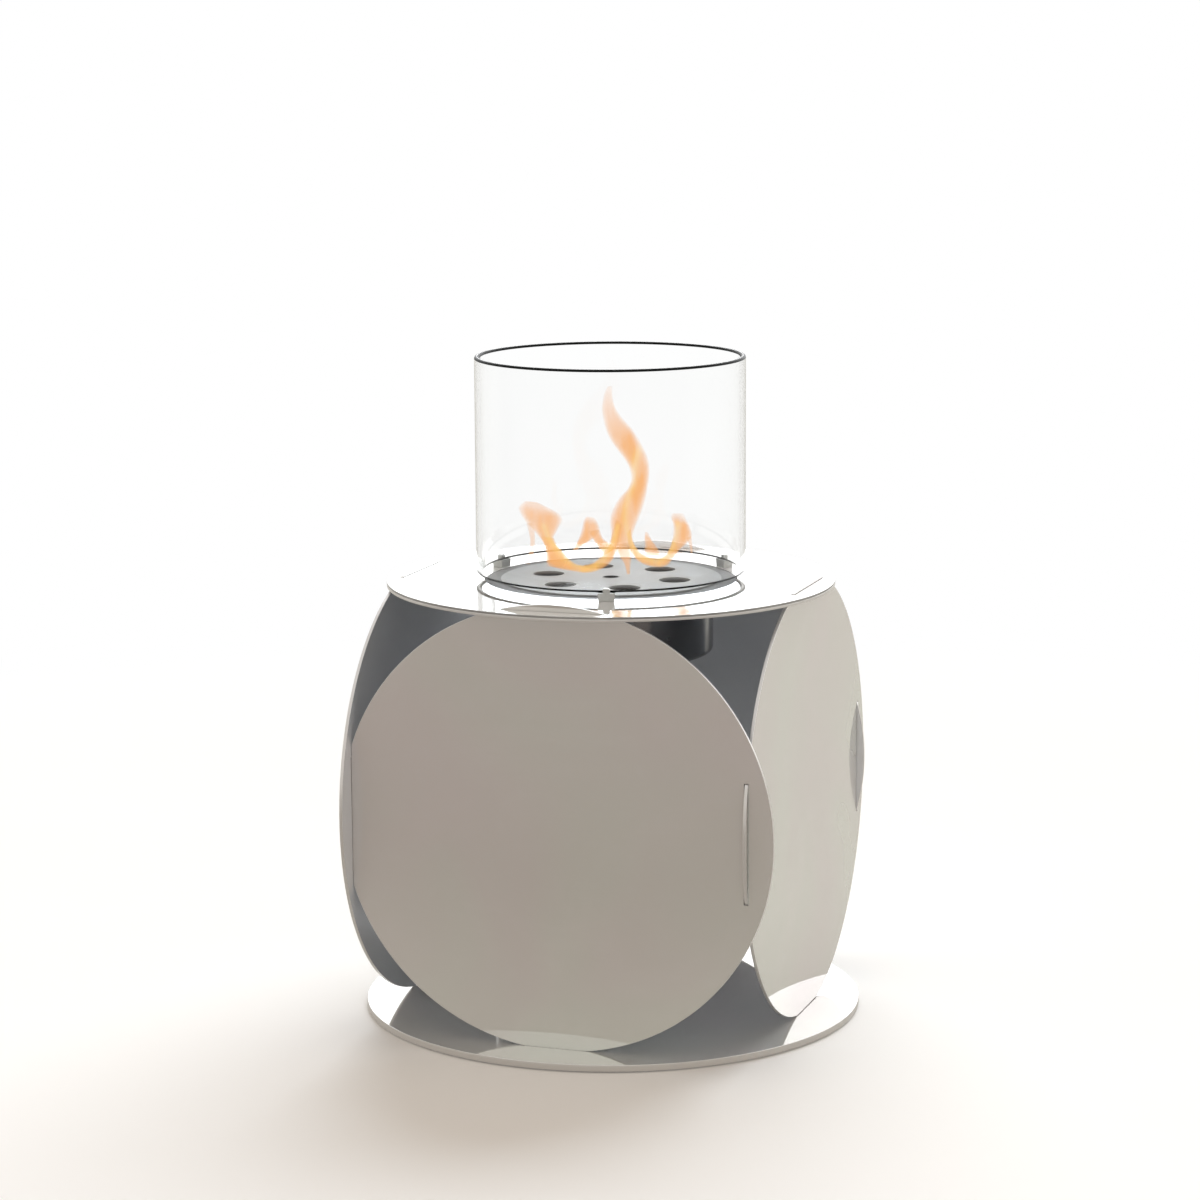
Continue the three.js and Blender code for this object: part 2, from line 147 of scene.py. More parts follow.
class FireplaceColours(bpy.types.PropertyGroup):
    mirror: colour_setting("Mirror steel", "Colour of the mirror-polished sheet", 0.72, 0.71, 0.69)
    satin: colour_setting("Satin steel", "Colour of the burner's satin sheet", 0.46, 0.46, 0.455)
    dark: colour_setting("Dark steel", "Colour of the heat-darkened tank and fasteners", 0.25, 0.255, 0.265)
    clip: colour_setting("Holder steel", "Colour of the three holders under the glass", 0.44, 0.44, 0.42)
    flame: colour_setting("Flame", "Colour of the flames' body", 0.955, 0.435, 0.12)
    flame_core: colour_setting("Flame core", "Colour of the bright streaks in the flames", 0.99, 0.56, 0.145)


class FireplaceStage(bpy.types.PropertyGroup):
    key_strength: bpy.props.FloatProperty(
        name="Key light", description="Strength of the wide soft light from behind",
        default=3.42, min=0, max=20)
    key_height: angle_setting("Key height", "Height of the soft light over the horizon", 32)
    key_turn: angle_setting("Key heading", "How far to the left of straight behind the soft light stands", 2)
    key_width: angle_setting("Key width", "How wide the soft light looks from the object", 62)
    room_light: colour_setting("Room light", "Colour of the light from all round", 0.645, 0.572, 0.50, top=2)


def sizes():
    return bpy.context.scene.fireplace_sizes


def colours():
    return bpy.context.scene.fireplace_colours


# ---------------------------------------------- outlines
def ring(radius, steps, cx=0.0, cy=0.0):
    turns = (TAU * i / steps for i in range(steps))
    return [Vector((cx + radius * math.cos(a), cy + radius * math.sin(a))) for a in turns]


def rectangle(x0, x1, y0, y1):
    return [Vector((x0, y0)), Vector((x1, y0)), Vector((x1, y1)), Vector((x0, y1))]


def arc_of(radius, start, stop, count):
    turns = (start + (stop - start) * i / count for i in range(count + 1))
    return [Vector((radius * math.cos(a), radius * math.sin(a))) for a in turns]


def corner_arc(cx, cz, radius, start, stop, steps=4):
    """Points of a profile's rounded corner; start and stop are in quarter turns."""
    turns = (QUARTER * (start + (stop - start) * i / steps) for i in range(steps + 1))
    return [(cx + radius * math.cos(a), cz + radius * math.sin(a)) for a in turns]


def all_round(loop, count=4, first=0.0):
    return [[p @ Matrix.Rotation(-(first + TAU * i / count), 2) for p in loop] for i in range(count)]


def sides_of(loop):
    """Each corner with the next one, all the way round."""
    return zip(loop, loop[1:] + loop[:1])


def wound(loop, anticlockwise):
    area = sum(a.x * b.y - b.x * a.y for a, b in sides_of(loop))
    return loop if (area > 0) == anticlockwise else loop[::-1]


def inward(loop):
    """For each corner, the step that moves both of its sides one unit into the sheet."""
    steps = []
    for before, here, after in zip(loop[-1:] + loop[:-1], loop, loop[1:] + loop[:1]):
        a, b = (here - before).normalized(), (after - here).normalized()
        na, nb = Vector((-a.y, a.x)), Vector((-b.y, b.x))
        steps.append((na + nb) / max(0.3, 1 + na.dot(nb)))
    return steps


# ---------------------------------------------- meshes
def mesh_from(bm, name):
    mesh = bpy.data.meshes.new(name)
    bm.to_mesh(mesh)
    bm.free()
    mesh.update()
    return mesh


def fill(bm, rows, up):
    """Closes the level face that the rows of corners leave open, and marks a sheet's under side."""
    under = bm.faces.layers.float["under_side"]
    edges = [bm.edges.get(pair) or bm.edges.new(pair) for row in rows for pair in sides_of(row)]
    made = bmesh.ops.triangle_fill(bm, use_beauty=True, edges=edges, normal=(0, 0, 1 if up else -1))
    for face in [f for f in made["geom"] if isinstance(f, bmesh.types.BMFace)]:
        face.normal_update()
        if (face.normal.z > 0) != up:
            face.normal_flip()
        face.smooth = False
        face[under] = 0.0 if up else 1.0


def sheet_mesh(name, outline, holes, low, high, edge, pockets=(), steps=3):
    """A level sheet with rounded edges. A pocket is (loop, floor): a blind recess from above. The attribute
    rim is 1 on all its edges; a second attribute marks the walls of its holes for a painted shade."""
    bm = bmesh.new()
    rim = bm.verts.layers.float.new("rim")
    slot_wall = bm.verts.layers.float.new("slot_wall")
    bm.faces.layers.float.new("under_side")
    turns = (QUARTER * k / steps for k in range(steps + 1))
    bend = [(edge * (1 - math.sin(a)), edge * (1 - math.cos(a))) for a in turns]
    from_above = [(inset, high - drop) for inset, drop in bend]
    through = from_above + [(inset, low + drop) for inset, drop in reversed(bend)]
    walls = [(wound(outline, True), through, 0.0)] + [(wound(hole, False), through, 1.0) for hole in holes]
    walls += [(wound(loop, False), [*from_above, (0.0, floor)], 0.0) for loop, floor in pockets]
    tops, bottoms = [], []
    for loop, profile, is_hole in walls:
        into = inward(loop)
        rows = []
        for k, (inset, z) in enumerate(profile):
            row = [bm.verts.new((*(p + n * inset), z)) for p, n in zip(loop, into)]
            on_edge = 0.0 if k in (0, len(profile) - 1) else 1.0
            for v in row:
                v[rim] = on_edge
                v[slot_wall] = is_hole * on_edge
            rows.append(row)
        for upper, lower in zip(rows, rows[1:]):
            for (a, b), (c, d) in zip(sides_of(upper), sides_of(lower)):
                bm.faces.new((a, c, d, b)).smooth = True
        tops.append(rows[0])
        if profile is through:
            bottoms.append(rows[-1])
        else:
            fill(bm, [rows[-1]], True)
    fill(bm, tops, True)
    fill(bm, bottoms, False)
    return mesh_from(bm, name)


def lathe_mesh(name, profile, steps, second_slot=()):
    """Turns a profile of (radius, height) points, listed anticlockwise, about the middle axis; second_slot
    lists the segments of the second material. A corner, or the end of a long wall, keeps a hard edge."""
    bm = bmesh.new()
    closed = profile[0][0] > 0
    rows = []
    for r, z in profile:
        spots = [(0, 0, z)] if r == 0 else [(*p, z) for p in ring(r, steps)]
        rows.append([bm.verts.new(spot) for spot in spots])
    count = len(rows) if closed else len(rows) - 1
    for k in range(count):
        a, b = rows[k], rows[(k + 1) % len(rows)]
        for i in range(steps):
            j = (i + 1) % steps
            corners = [a[i % len(a)], a[j % len(a)], b[j % len(b)], b[i % len(b)]]
            face = bm.faces.new([v for n, v in enumerate(corners) if v not in corners[:n]])
            face.smooth = True
            face.material_index = int(k in second_slot)
    sharp, bent, uneven = math.radians(35), math.radians(3), 6
    for k in range(0 if closed else 1, count):
        before, here, after = (Vector(profile[(k + step) % len(profile)]) for step in (-1, 0, 1))
        come, go = here - before, after - here
        bend, ratio = come.angle(go), max(come.length, go.length) / min(come.length, go.length)
        if bend > sharp or (bend > bent and ratio > uneven):
            for pair in sides_of(rows[k]):
                bm.edges.get(pair).smooth = False
    return mesh_from(bm, name)


def bars_mesh(name, *bars):
    """Straight bars along X. A bar is (outline of (y, z) corners, where it starts, where it ends)."""
    bm = bmesh.new()
    for outline, start, stop in bars:
        near, far = ([bm.verts.new((x, y, z)) for y, z in outline] for x in (start, stop))
        for (a, b), (c, d) in zip(sides_of(near), sides_of(far)):
            bm.faces.new((a, b, d, c))
        bm.faces.new(near[::-1])
        bm.faces.new(far)
    bmesh.ops.recalc_face_normals(bm, faces=bm.faces)
    return mesh_from(bm, name)


def joined(name, *meshes):
    bm = bmesh.new()
    for mesh in meshes:
        bm.from_mesh(mesh)
        bpy.data.meshes.remove(mesh)
    return mesh_from(bm, name)


def moved(mesh, x, y=0.0):
    mesh.transform(Matrix.Translation((x, y, 0)))
    return mesh


def above_node(mesh, node):
    """Moves a mesh that was made round the middle axis to the node's own axis."""
    low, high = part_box(node)
    return moved(mesh, (low.x + high.x) / 2, (low.y + high.y) / 2)


# ---------------------------------------------- pieces
def object_of(name, mesh):
    made = bpy.data.objects.new(name, mesh)
    bpy.context.scene.collection.objects.link(made)
    return made


def round_edges(made, width, segments, degrees):
    rounding = made.modifiers.new("Rounded edges", "BEVEL")
    rounding.width, rounding.segments, rounding.limit_method = width, segments, "ANGLE"
    rounding.angle_limit = math.radians(degrees)


def run_tree(made, tree, **values):
    """Puts the tree on the piece as a modifier with these inputs."""
    grower = made.modifiers.new(tree.name, "NODES")
    grower.node_group = tree
    for item in tree.interface.items_tree:
        if item.in_out == "INPUT" and item.name.replace(" ", "_") in values:
            grower[item.identifier] = values[item.name.replace(" ", "_")]


def bake_modifiers(made):
    """Turns what the modifiers show into the piece's own plain mesh."""
    graph = bpy.context.evaluated_depsgraph_get()
    mesh = bpy.data.meshes.new_from_object(
        made.evaluated_get(graph), preserve_all_data_layers=True, depsgraph=graph)
    made.modifiers.clear()
    old = made.data
    made.data = mesh
    mesh.name = made.name
    bpy.data.meshes.remove(old)
    return made


def ring_of(name, mesh, count, finish, first=0.0, rounding=()):
    """Repeats the mesh at equal angles round the middle axis, as one piece."""
    made = object_of(name, mesh)
    if rounding:
        round_edges(made, *rounding)
    run_tree(made, ring_tree(), Count=count, First_Angle=first, Material=finish)
    return bake_modifiers(made)


def settle(made, body, slot, *nodes):
    """Puts a finished piece on its body and hides the nodes it stands for."""
    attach(made, body)
    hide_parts(*nodes)


def settle_mesh(name, mesh, finish, *settling):
    mesh.materials.append(finish)
    settle(object_of(name, mesh), *settling)


# ---------------------------------------------- node helpers
class Net:
    """Adds nodes to a tree. An input is given a socket to link from, or a value."""

    def __init__(self, tree):
        self.tree = tree

    def plug(self, value, socket):
        if isinstance(value, bpy.types.NodeSocket):
            self.tree.links.new(value, socket)
        else:
            socket.default_value = value

    def outs(self, kind, inputs=None, **settings):
        node = self.tree.nodes.new(kind)
        for key, value in settings.items():
            setattr(node, key, value)
        for key, value in (inputs or {}).items():
            self.plug(value, node.inputs[key])
        return node.outputs

    def out(self, kind, inputs=None, **settings):
        return self.outs(kind, inputs, **settings)[0]

    def use(self, tree, **inputs):
        """Places a node group with these inputs."""
        named = {key.replace("_", " "): value for key, value in inputs.items()}
        return self.outs("ShaderNodeGroup", named, node_tree=tree)

    def math(self, operation, *values, clamp=False):
        return self.out("ShaderNodeMath", dict(enumerate(values)), operation=operation, use_clamp=clamp)

    def times(self, a, b, clamp=False):
        return self.math("MULTIPLY", a, b, clamp=clamp)

    def scaled(self, value, factor, onto, clamp=False):
        return self.math("MULTIPLY_ADD", value, factor, onto, clamp=clamp)

    def hypot(self, a, b):
        return self.math("SQRT", self.math("ADD", self.times(a, a), self.times(b, b)))

    def step(self, value, low, high, to_low=0.0, to_high=1.0):
        return self.out("ShaderNodeMapRange", {"Value": value, 1: low, 2: high, 3: to_low, 4: to_high},
                        interpolation_type="SMOOTHSTEP")

    def mix(self, factor, a, b):
        a, b = (tone if isinstance(tone, bpy.types.NodeSocket) else (*tone[:3], 1.0) for tone in (a, b))
        return self.outs("ShaderNodeMix", {0: factor, 6: a, 7: b}, data_type="RGBA")[2]

    def noise(self, where, scale, detail, **more):
        return self.out("ShaderNodeTexNoise", {"Vector": where, "Scale": scale, "Detail": detail, **more})

    def stretched(self, where, *scale):
        return self.out("ShaderNodeMapping", {"Vector": where, "Scale": scale})

    def parts(self, vector):
        return self.outs("ShaderNodeSeparateXYZ", {0: vector})

    def vector(self, **parts):
        return self.out("ShaderNodeCombineXYZ", parts)

    def bump(self, height, distance, strength=1.0):
        return self.out("ShaderNodeBump", {"Height": height, "Distance": distance, "Strength": strength})

    def attribute(self, name):
        return self.outs("ShaderNodeAttribute", attribute_name=name, attribute_type="GEOMETRY")["Fac"]

    def real(self, geometry):
        return self.out("GeometryNodeRealizeInstances", {"Geometry": geometry})

    def shifted(self, geometry, **parts):
        return self.out("GeometryNodeTransform", {"Geometry": geometry, "Translation": self.vector(**parts)})

    def finished(self, geometry, finish):
        """The end of each tree: real geometry, with its material."""
        return self.out("GeometryNodeSetMaterial", {"Geometry": self.real(geometry), "Material": finish})

    def together(self, *geometry):
        node = self.tree.nodes.new("GeometryNodeJoinGeometry")
        for part in geometry:
            self.tree.links.new(part, node.inputs[0])
        return node.outputs[0]


LENGTHS = (
    "Radius", "Thickness", "Height", "Hole Radius", "Ring Radius", "Middle Radius", "Stop Radius", "Stop Ring")
SOCKET_KINDS = {
    "Vector": "Vector", "Stretch": "Vector", "Normal": "Vector", "Geometry": "Geometry", "Material": "Material",
    "Count": "Int", "Hole Count": "Int", "Facets": "Int",
}
SUBTYPES = {"First Angle": "ANGLE", **dict.fromkeys(LENGTHS, "DISTANCE")}


def group(name, inputs, outputs, family="ShaderNodeTree"):
    """Turns a builder into a function that gives its node tree, built once. The builder takes a Net and the
    tree's inputs, and gives a socket for each output."""
    def tree_of(build):
        tree = bpy.data.node_groups.new(name, family)

        def socket_for(label, way):
            kind = "NodeSocket" + SOCKET_KINDS.get(label, "Float")
            return tree.interface.new_socket(label, in_out=way, socket_type=kind)

        for label, default in inputs.items():
            socket = socket_for(label, "INPUT")
            if default is not None:
                socket.default_value = default
            if label in SUBTYPES:
                socket.subtype = SUBTYPES[label]
            if socket.socket_type == "NodeSocketInt":
                socket.min_value = 1
        for label in outputs:
            socket_for(label, "OUTPUT")
        start, end = tree.nodes.new("NodeGroupInput"), tree.nodes.new("NodeGroupOutput")
        for label, value in build(Net(tree), start.outputs).items():
            tree.links.new(value, end.inputs[label])
        return tree

    def once(build):
        return lambda: bpy.data.node_groups.get(name) or tree_of(build)
    return once


# ---------------------------------------------- effects that several materials use
@group("Roll waves", {"Vector": None, "Broad Scale": 6.0, "Broad Height": 0.00006, "Fine Scale": 90.0,
                      "Fine Height": 0.000001}, ["Normal"])
def roll_waves(net, given):
    """The faint waves that rolling and polishing leave in sheet steel, as a normal."""
    broad = net.noise(given["Vector"], given["Broad Scale"], 1.0)
    fine = net.noise(given["Vector"], given["Fine Scale"], 3.0)
    height = net.scaled(fine, given["Fine Height"], net.times(broad, given["Broad Height"]))
    return {"Normal": net.bump(height, 1.0)}


@group("Wipe marks", {"Vector": None, "Scale": 7.0}, ["Mask"])
def wipe_marks(net, given):
    """Broad soft patches where a cloth has wiped the polish, from 0 to 1."""
    patches = net.noise(given["Vector"], given["Scale"], 4.0, Roughness=0.6, Distortion=1.4)
    streaks = net.noise(net.stretched(given["Vector"], 3.0, 9.0, 26.0), given["Scale"], 5.0)
    return {"Mask": net.times(net.step(patches, 0.42, 0.70), net.step(streaks, 0.35, 0.75, 0.5, 1.0))}


@group("Edge wear", {"Vector": None, "Rim": 0.0, "Scale": 60.0}, ["Mask"])
def edge_wear_and_shade(net, given):
    """Bright rubbed metal on an edge, from the piece's own rim attribute and a broken-up noise; on the top
    plate the same mask carries a painted dark shade.
    """
    patches = net.step(net.noise(given["Vector"], given["Scale"], 4.0), 0.30, 0.62, 0.85, 1.0)
    return {"Mask": net.times(given["Rim"], patches, clamp=True)}


@group("Satin grain", {"Vector": None, "Stretch": (900.0, 900.0, 900.0), "Depth": 0.00002}, ["Mask", "Normal"])
def satin_grain(net, given):
    """Fine grain of blasted or brushed steel: a mask and a normal."""
    drawn = net.out("ShaderNodeVectorMath", {0: given["Vector"], 1: given["Stretch"]}, operation="MULTIPLY")
    lines = net.noise(drawn, 1.0, 4.0, Roughness=0.65)
    return {"Mask": lines, "Normal": net.bump(lines, given["Depth"])}


@group("Heat bloom", {"Vector": None, "Reach": 0.030}, ["Mask"])
def heat_bloom(net, given):
    """Where the flames have tinted the steel round the burner's holes, from 0 to 1."""
    x, y = net.parts(given["Vector"])[:2]
    radius = net.hypot(x, y)
    folded = net.math("PINGPONG", net.math("ARCTAN2", y, x), TAU / HOLE_COUNT / 2)
    along = net.times(radius, net.math("COSINE", folded))
    across = net.times(radius, net.math("SINE", folded))
    distance = net.hypot(net.math("SUBTRACT", along, HOLE_RING), across)
    ragged = net.scaled(net.noise(given["Vector"], 90.0, 3.0), 0.008, distance)
    return {"Mask": net.step(ragged, HOLE_RADIUS + 0.002, given["Reach"], 1.0, 0.0)}


# ---------------------------------------------- materials
def shade(colour, *factors):
    """The colour times one factor, or times one for each of its parts."""
    factors = factors * 3 if len(factors) == 1 else factors
    return tuple(min(1.0, part * factor) for part, factor in zip(colour, factors))


def mirror_steel(net, where, cut_edge=(0.62, 0.605, 0.585), milky=0.0):
    """Mirror-polished sheet, worn on its edges except on the top plate, where a painted dark shade takes their
    place; cut_edge is their colour, and milky dulls the mirror.
    """
    polish = colours().mirror
    marks = net.use(wipe_marks(), Vector=where, Scale=5.0)["Mask"]
    worn_and_shaded_edge = net.use(edge_wear_and_shade(), Vector=where, Rim=net.attribute("rim"), Scale=45.0)["Mask"]
    under = net.attribute("under_side")
    crown = net.times(under, net.math("GREATER_THAN", net.parts(where)[2], top_high.z))
    cloud = net.noise(where, 4.5, 2.0, Distortion=0.8)
    warm, cool = shade(polish, 0.985, 0.955, 0.965), shade(polish, 0.995, 1.03, 1.0)
    tone = net.mix(net.step(cloud, 0.3, 0.7), warm, cool)
    tone = net.mix(net.times(marks, 0.25), tone, (0.80, 0.79, 0.77))
    # The under side, which is the discs' inner faces and the plates' lower faces, is painted paler and bluer:
    # painted light that stands in for the light bouncing between the discs.
    tone = net.mix(under, tone, (0.76, 0.775, 0.80))
    # Where the under side stands above the top plate, on the discs' crowns, it is painted white with more
    # metal: a painted reflection of the white it mirrors.
    tone = net.mix(crown, tone, (1.0, 1.0, 1.0))
    # Edges take the cut_edge colour: rubbed metal on the discs and base, a painted dark shade on the top plate.
    tone = net.mix(worn_and_shaded_edge, tone, cut_edge)
    # The walls of the holes and slots are painted near black: a painted shade inside the slots.
    tone = net.mix(net.attribute("slot_wall"), tone, (0.20, 0.19, 0.18))
    gloss = net.scaled(worn_and_shaded_edge, 0.32, net.scaled(marks, 0.030, 0.018))
    metal = net.scaled(under, -0.14, net.step(cloud, 0.2, 0.8, 0.58 - milky, 0.64 - milky))
    waves = net.use(roll_waves(), Vector=where, Broad_Scale=5.0, Broad_Height=0.00010, Fine_Scale=120.0,
                    Fine_Height=0.0000003)
    return {"Base Color": tone, "Roughness": net.scaled(under, 0.20, gloss), "Normal": waves["Normal"],
            "Metallic": net.scaled(crown, 0.6, metal, clamp=True)}


def satin_steel(net, where, darker=1.0):
    """Satin sheet with the flames' heat tint round the burner's holes."""
    satin = shade(colours().satin, darker)
    grain = net.use(satin_grain(), Vector=where, Stretch=(2600.0, 260.0, 900.0), Depth=0.000006)
    marks = net.use(wipe_marks(), Vector=where, Scale=16.0)["Mask"]
    bloom = net.use(heat_bloom(), Vector=where, Reach=0.034)["Mask"]
    tone = net.mix(grain["Mask"], shade(satin, 0.93), shade(satin, 1.06))
    tone = net.mix(net.times(bloom, 0.22), tone, shade((0.36, 0.32, 0.27), darker))
    rough = net.scaled(marks, 0.06, net.scaled(grain["Mask"], 0.10, 0.48))
    return {"Base Color": tone, "Roughness": rough, "Normal": grain["Normal"], "Metallic": 0.3,
            "Specular IOR Level": 0.0}


def dark_steel(net, where):
    dark = colours().dark
    grain = net.use(satin_grain(), Vector=where, Stretch=(120.0, 120.0, 1800.0), Depth=0.000004)
    marks = net.use(wipe_marks(), Vector=where, Scale=14.0)["Mask"]
    tone = net.mix(grain["Mask"], shade(dark, 0.8), shade(dark, 1.2))
    return {"Base Color": net.mix(net.times(marks, 0.35), tone, (0.20, 0.175, 0.16)),
            "Roughness": net.scaled(marks, 0.12, 0.17), "Normal": grain["Normal"], "Metallic": 1.0}


def clip_steel(net, where):
    clip = colours().clip
    grain = net.use(satin_grain(), Vector=where, Stretch=(500.0, 500.0, 2400.0), Depth=0.000008)
    return {"Base Color": net.mix(grain["Mask"], shade(clip, 0.82), shade(clip, 1.18)),
            "Roughness": net.scaled(grain["Mask"], 0.15, 0.24), "Normal": grain["Normal"], "Metallic": 1.0}


def clear_glass(net, where):
    waves = net.use(roll_waves(), Vector=net.stretched(where, 1.0, 1.0, 0.25), Broad_Scale=6.0,
                    Broad_Height=0.0000004, Fine_Scale=20.0, Fine_Height=0.0)
    film = net.use(wipe_marks(), Vector=where, Scale=9.0)["Mask"]
    inside = net.out("ShaderNodeVolumeAbsorption", {"Color": (0.80, 0.86, 0.84, 1.0), "Density": 4.0})
    return {"Base Color": net.mix(film, (0.998, 1.0, 0.999), (0.988, 0.992, 0.990)),
            "Roughness": net.times(film, 0.003), "Normal": waves["Normal"], "Volume": inside,
            "Transmission Weight": 1.0, "IOR": 1.47, "Specular IOR Level": 0.25}


def glass_edge(net, where):
    # The glass's bends are painted near black: a painted shade for the dark lines that glass edges show.
    grind = net.noise(where, 900.0, 3.0)
    return {"Base Color": net.mix(grind, (0.004, 0.0045, 0.0045), (0.014, 0.016, 0.015)),
            "Roughness": net.scaled(grind, 0.15, 0.25), "Normal": net.bump(grind, 0.00002, 0.6),
            "Specular IOR Level": 0.03}


def pad_rubber(net, where):
    pores, dust = net.noise(where, 1400.0, 4.0), net.noise(where, 120.0, 3.0)
    return {"Base Color": net.mix(net.step(dust, 0.4, 0.8), (0.014, 0.014, 0.014), (0.050, 0.048, 0.045)),
            "Roughness": net.scaled(pores, 0.25, 0.65), "Normal": net.bump(pores, 0.0002, 0.7)}


def ceramic_wool(net, where):
    lay = net.noise(net.stretched(where, 420.0, 1500.0, 600.0), 1.0, 6.0, Distortion=2.5)
    soot = net.step(net.noise(where, 40.0, 4.0), 0.50, 0.85)
    tone = net.mix(lay, (0.60, 0.58, 0.54), (0.84, 0.82, 0.77))
    return {"Base Color": net.mix(soot, tone, (0.24, 0.21, 0.18)), "Normal": net.bump(lay, 0.0012, 0.9),
            "Roughness": 0.95}


def flame_light(net, where):
    wisps = net.noise(net.stretched(where, 95.0, 95.0, 22.0), 1.0, 2.0, Distortion=0.6)
    wisps = net.step(wisps, 0.30, 0.70, 0.84, 1.06)
    return {"Emission Color": net.mix(net.attribute("flame_core"), colours().flame, colours().flame_core),
            "Alpha": net.times(net.attribute("flame_body"), wisps, clamp=True), "Emission Strength": 1.0,
            "Base Color": (0.0, 0.0, 0.0, 1.0), "Specular IOR Level": 0.0, "Roughness": 1.0}


# Each material with its painter, and the values in which it differs from that painter's usual ones.
COATS = {
    "Polished steel": (mirror_steel, {}),
    "Polished base steel": (mirror_steel, {"milky": 0.14}),
    # The top plate's edges are painted near black, a painted shade for the dark band of its rim.
    "Polished top steel": (mirror_steel, {"cut_edge": (0.26, 0.255, 0.245), "milky": 0.2}),
    "Satin burner steel": (satin_steel, {}),
    # The deck is the burner's satin steel painted darker: a painted shade for the ring under the regulator
    # disc.
    "Satin deck steel": (satin_steel, {"darker": 0.58}),
    "Heat-darkened steel": (dark_steel, {}),
    "Holder steel": (clip_steel, {}),
    "Clear borosilicate glass": (clear_glass, {}),
    "Glass edge painted dark": (glass_edge, {}),
    "Pad rubber": (pad_rubber, {}),
    "Ceramic fibre": (ceramic_wool, {}),
    "Flame": (flame_light, {}),
}


def coat(name):
    """The material of this name, painted once on Object coordinates."""
    made = bpy.data.materials.get(name)
    if made:
        return made
    made = bpy.data.materials.new(name)
    made.use_nodes = True
    net = Net(made.node_tree)
    surface, end = (net.tree.nodes[kind] for kind in ("Principled BSDF", "Material Output"))
    paint, values = COATS[name]
    for label, value in paint(net, net.outs("ShaderNodeTexCoord")["Object"], **values).items():
        net.plug(value, (end if label == "Volume" else surface).inputs[label])
    return made


# ---------------------------------------------- Geometry Nodes
@group("Ring of pieces", {"Geometry": None, "Count": 4, "First Angle": 0.0, "Material": None}, ["Geometry"],
       "GeometryNodeTree")
def ring_tree(net, given):
    """Repeats a piece at equal angles round the middle axis."""
    pitch = net.math("DIVIDE", TAU, given["Count"])
    angle = net.scaled(net.out("GeometryNodeInputIndex"), pitch, given["First Angle"])
    copies = net.out("GeometryNodeInstanceOnPoints", {
        "Points": net.out("GeometryNodePoints", {"Count": given["Count"]}), "Instance": given["Geometry"],
        "Rotation": net.vector(Z=angle)})
    return {"Geometry": net.finished(copies, given["Material"])}


@group("Perforated round sheet", {**dict.fromkeys(LENGTHS, 0.0), "Hole Count": HOLE_COUNT, "Facets": 320,
                                  "Material": None}, ["Geometry"], "GeometryNodeTree")
def perforated_tree(net, given):
    """A round sheet with a ring of holes, a middle hole and one small hole near the rim."""
    def circle(size, facets):
        return net.out("GeometryNodeCurvePrimitiveCircle", {"Resolution": facets, "Radius": given[size]},
                       mode="RADIUS")

    angle = net.times(net.out("GeometryNodeInputIndex"), net.math("DIVIDE", TAU, given["Hole Count"]))
    place = net.vector(X=net.times(given["Ring Radius"], net.math("COSINE", angle)),
                       Y=net.times(given["Ring Radius"], net.math("SINE", angle)))
    points = net.out("GeometryNodePoints", {"Count": given["Hole Count"]})
    points = net.out("GeometryNodeSetPosition", {"Geometry": points, "Position": place})
    holes = net.out("GeometryNodeInstanceOnPoints", {"Points": points, "Instance": circle("Hole Radius", 64)})
    stop = net.shifted(circle("Stop Radius", 24), X=given["Stop Ring"])
    outlines = net.together(
        circle("Radius", given["Facets"]), net.real(holes), circle("Middle Radius", 48), stop)
    level = net.out("GeometryNodeFillCurve", {"Curve": outlines}, mode="NGONS")
    walls = net.out("GeometryNodeExtrudeMesh", {
        "Mesh": level, "Offset": (0.0, 0.0, 1.0), "Offset Scale": given["Thickness"], "Individual": False})
    whole = net.together(walls, net.out("GeometryNodeFlipFaces", {"Mesh": level}))
    whole = net.out("GeometryNodeMergeByDistance", {"Geometry": whole, "Distance": 0.00001})
    return {"Geometry": net.finished(net.shifted(whole, Z=given["Height"]), given["Material"])}


# ---------------------------------------------- the discs' interlock
def half_chord(distance):
    return math.sqrt(PANEL_RADIUS**2 - distance**2)


to_neighbour = PANEL_FACE + PANEL_MIDDLE.x
tenon_half = half_chord(to_neighbour)
crown_half = half_chord(top_high.z - PANEL_MIDDLE.z)
seat_half = half_chord(base_high.z - PANEL_MIDDLE.z)


def disc_outline(steps):
    """A full disc less the corners beside its left tenon and its crown, in the disc's own plane."""
    def rim(start, stop):
        return arc_of(PANEL_RADIUS, start, stop, max(2, math.ceil(abs(stop - start) / TAU * steps)))

    shoulder = backing_low.z - PANEL_MIDDLE.z
    step_in = to_neighbour - PANEL_SHEET - SHOULDER_CLEAR
    crown, tip = math.asin(shoulder / PANEL_RADIUS), math.acos(crown_half / PANEL_RADIUS)
    side, tenon = math.acos(-step_in / PANEL_RADIUS), math.pi - math.asin(tenon_half / PANEL_RADIUS)
    return [
        *rim(-QUARTER, crown), Vector((crown_half, shoulder)),
        *rim(tip, math.pi - tip), Vector((-crown_half, shoulder)),
        *rim(math.pi - crown, side), Vector((-step_in, tenon_half)),
        *rim(tenon, TAU - tenon), Vector((-step_in, -tenon_half)),
        *rim(TAU - side, 3 * QUARTER)[:-1],
    ]


def level_slot(half):
    """The slot that the front disc's edge takes through a level plate."""
    x, y = PANEL_MIDDLE.x, -PANEL_FACE
    return rectangle(x - half - SLOT_CLEAR, x + half + SLOT_CLEAR, y - SLOT_CLEAR, y + PANEL_SHEET + SLOT_CLEAR)


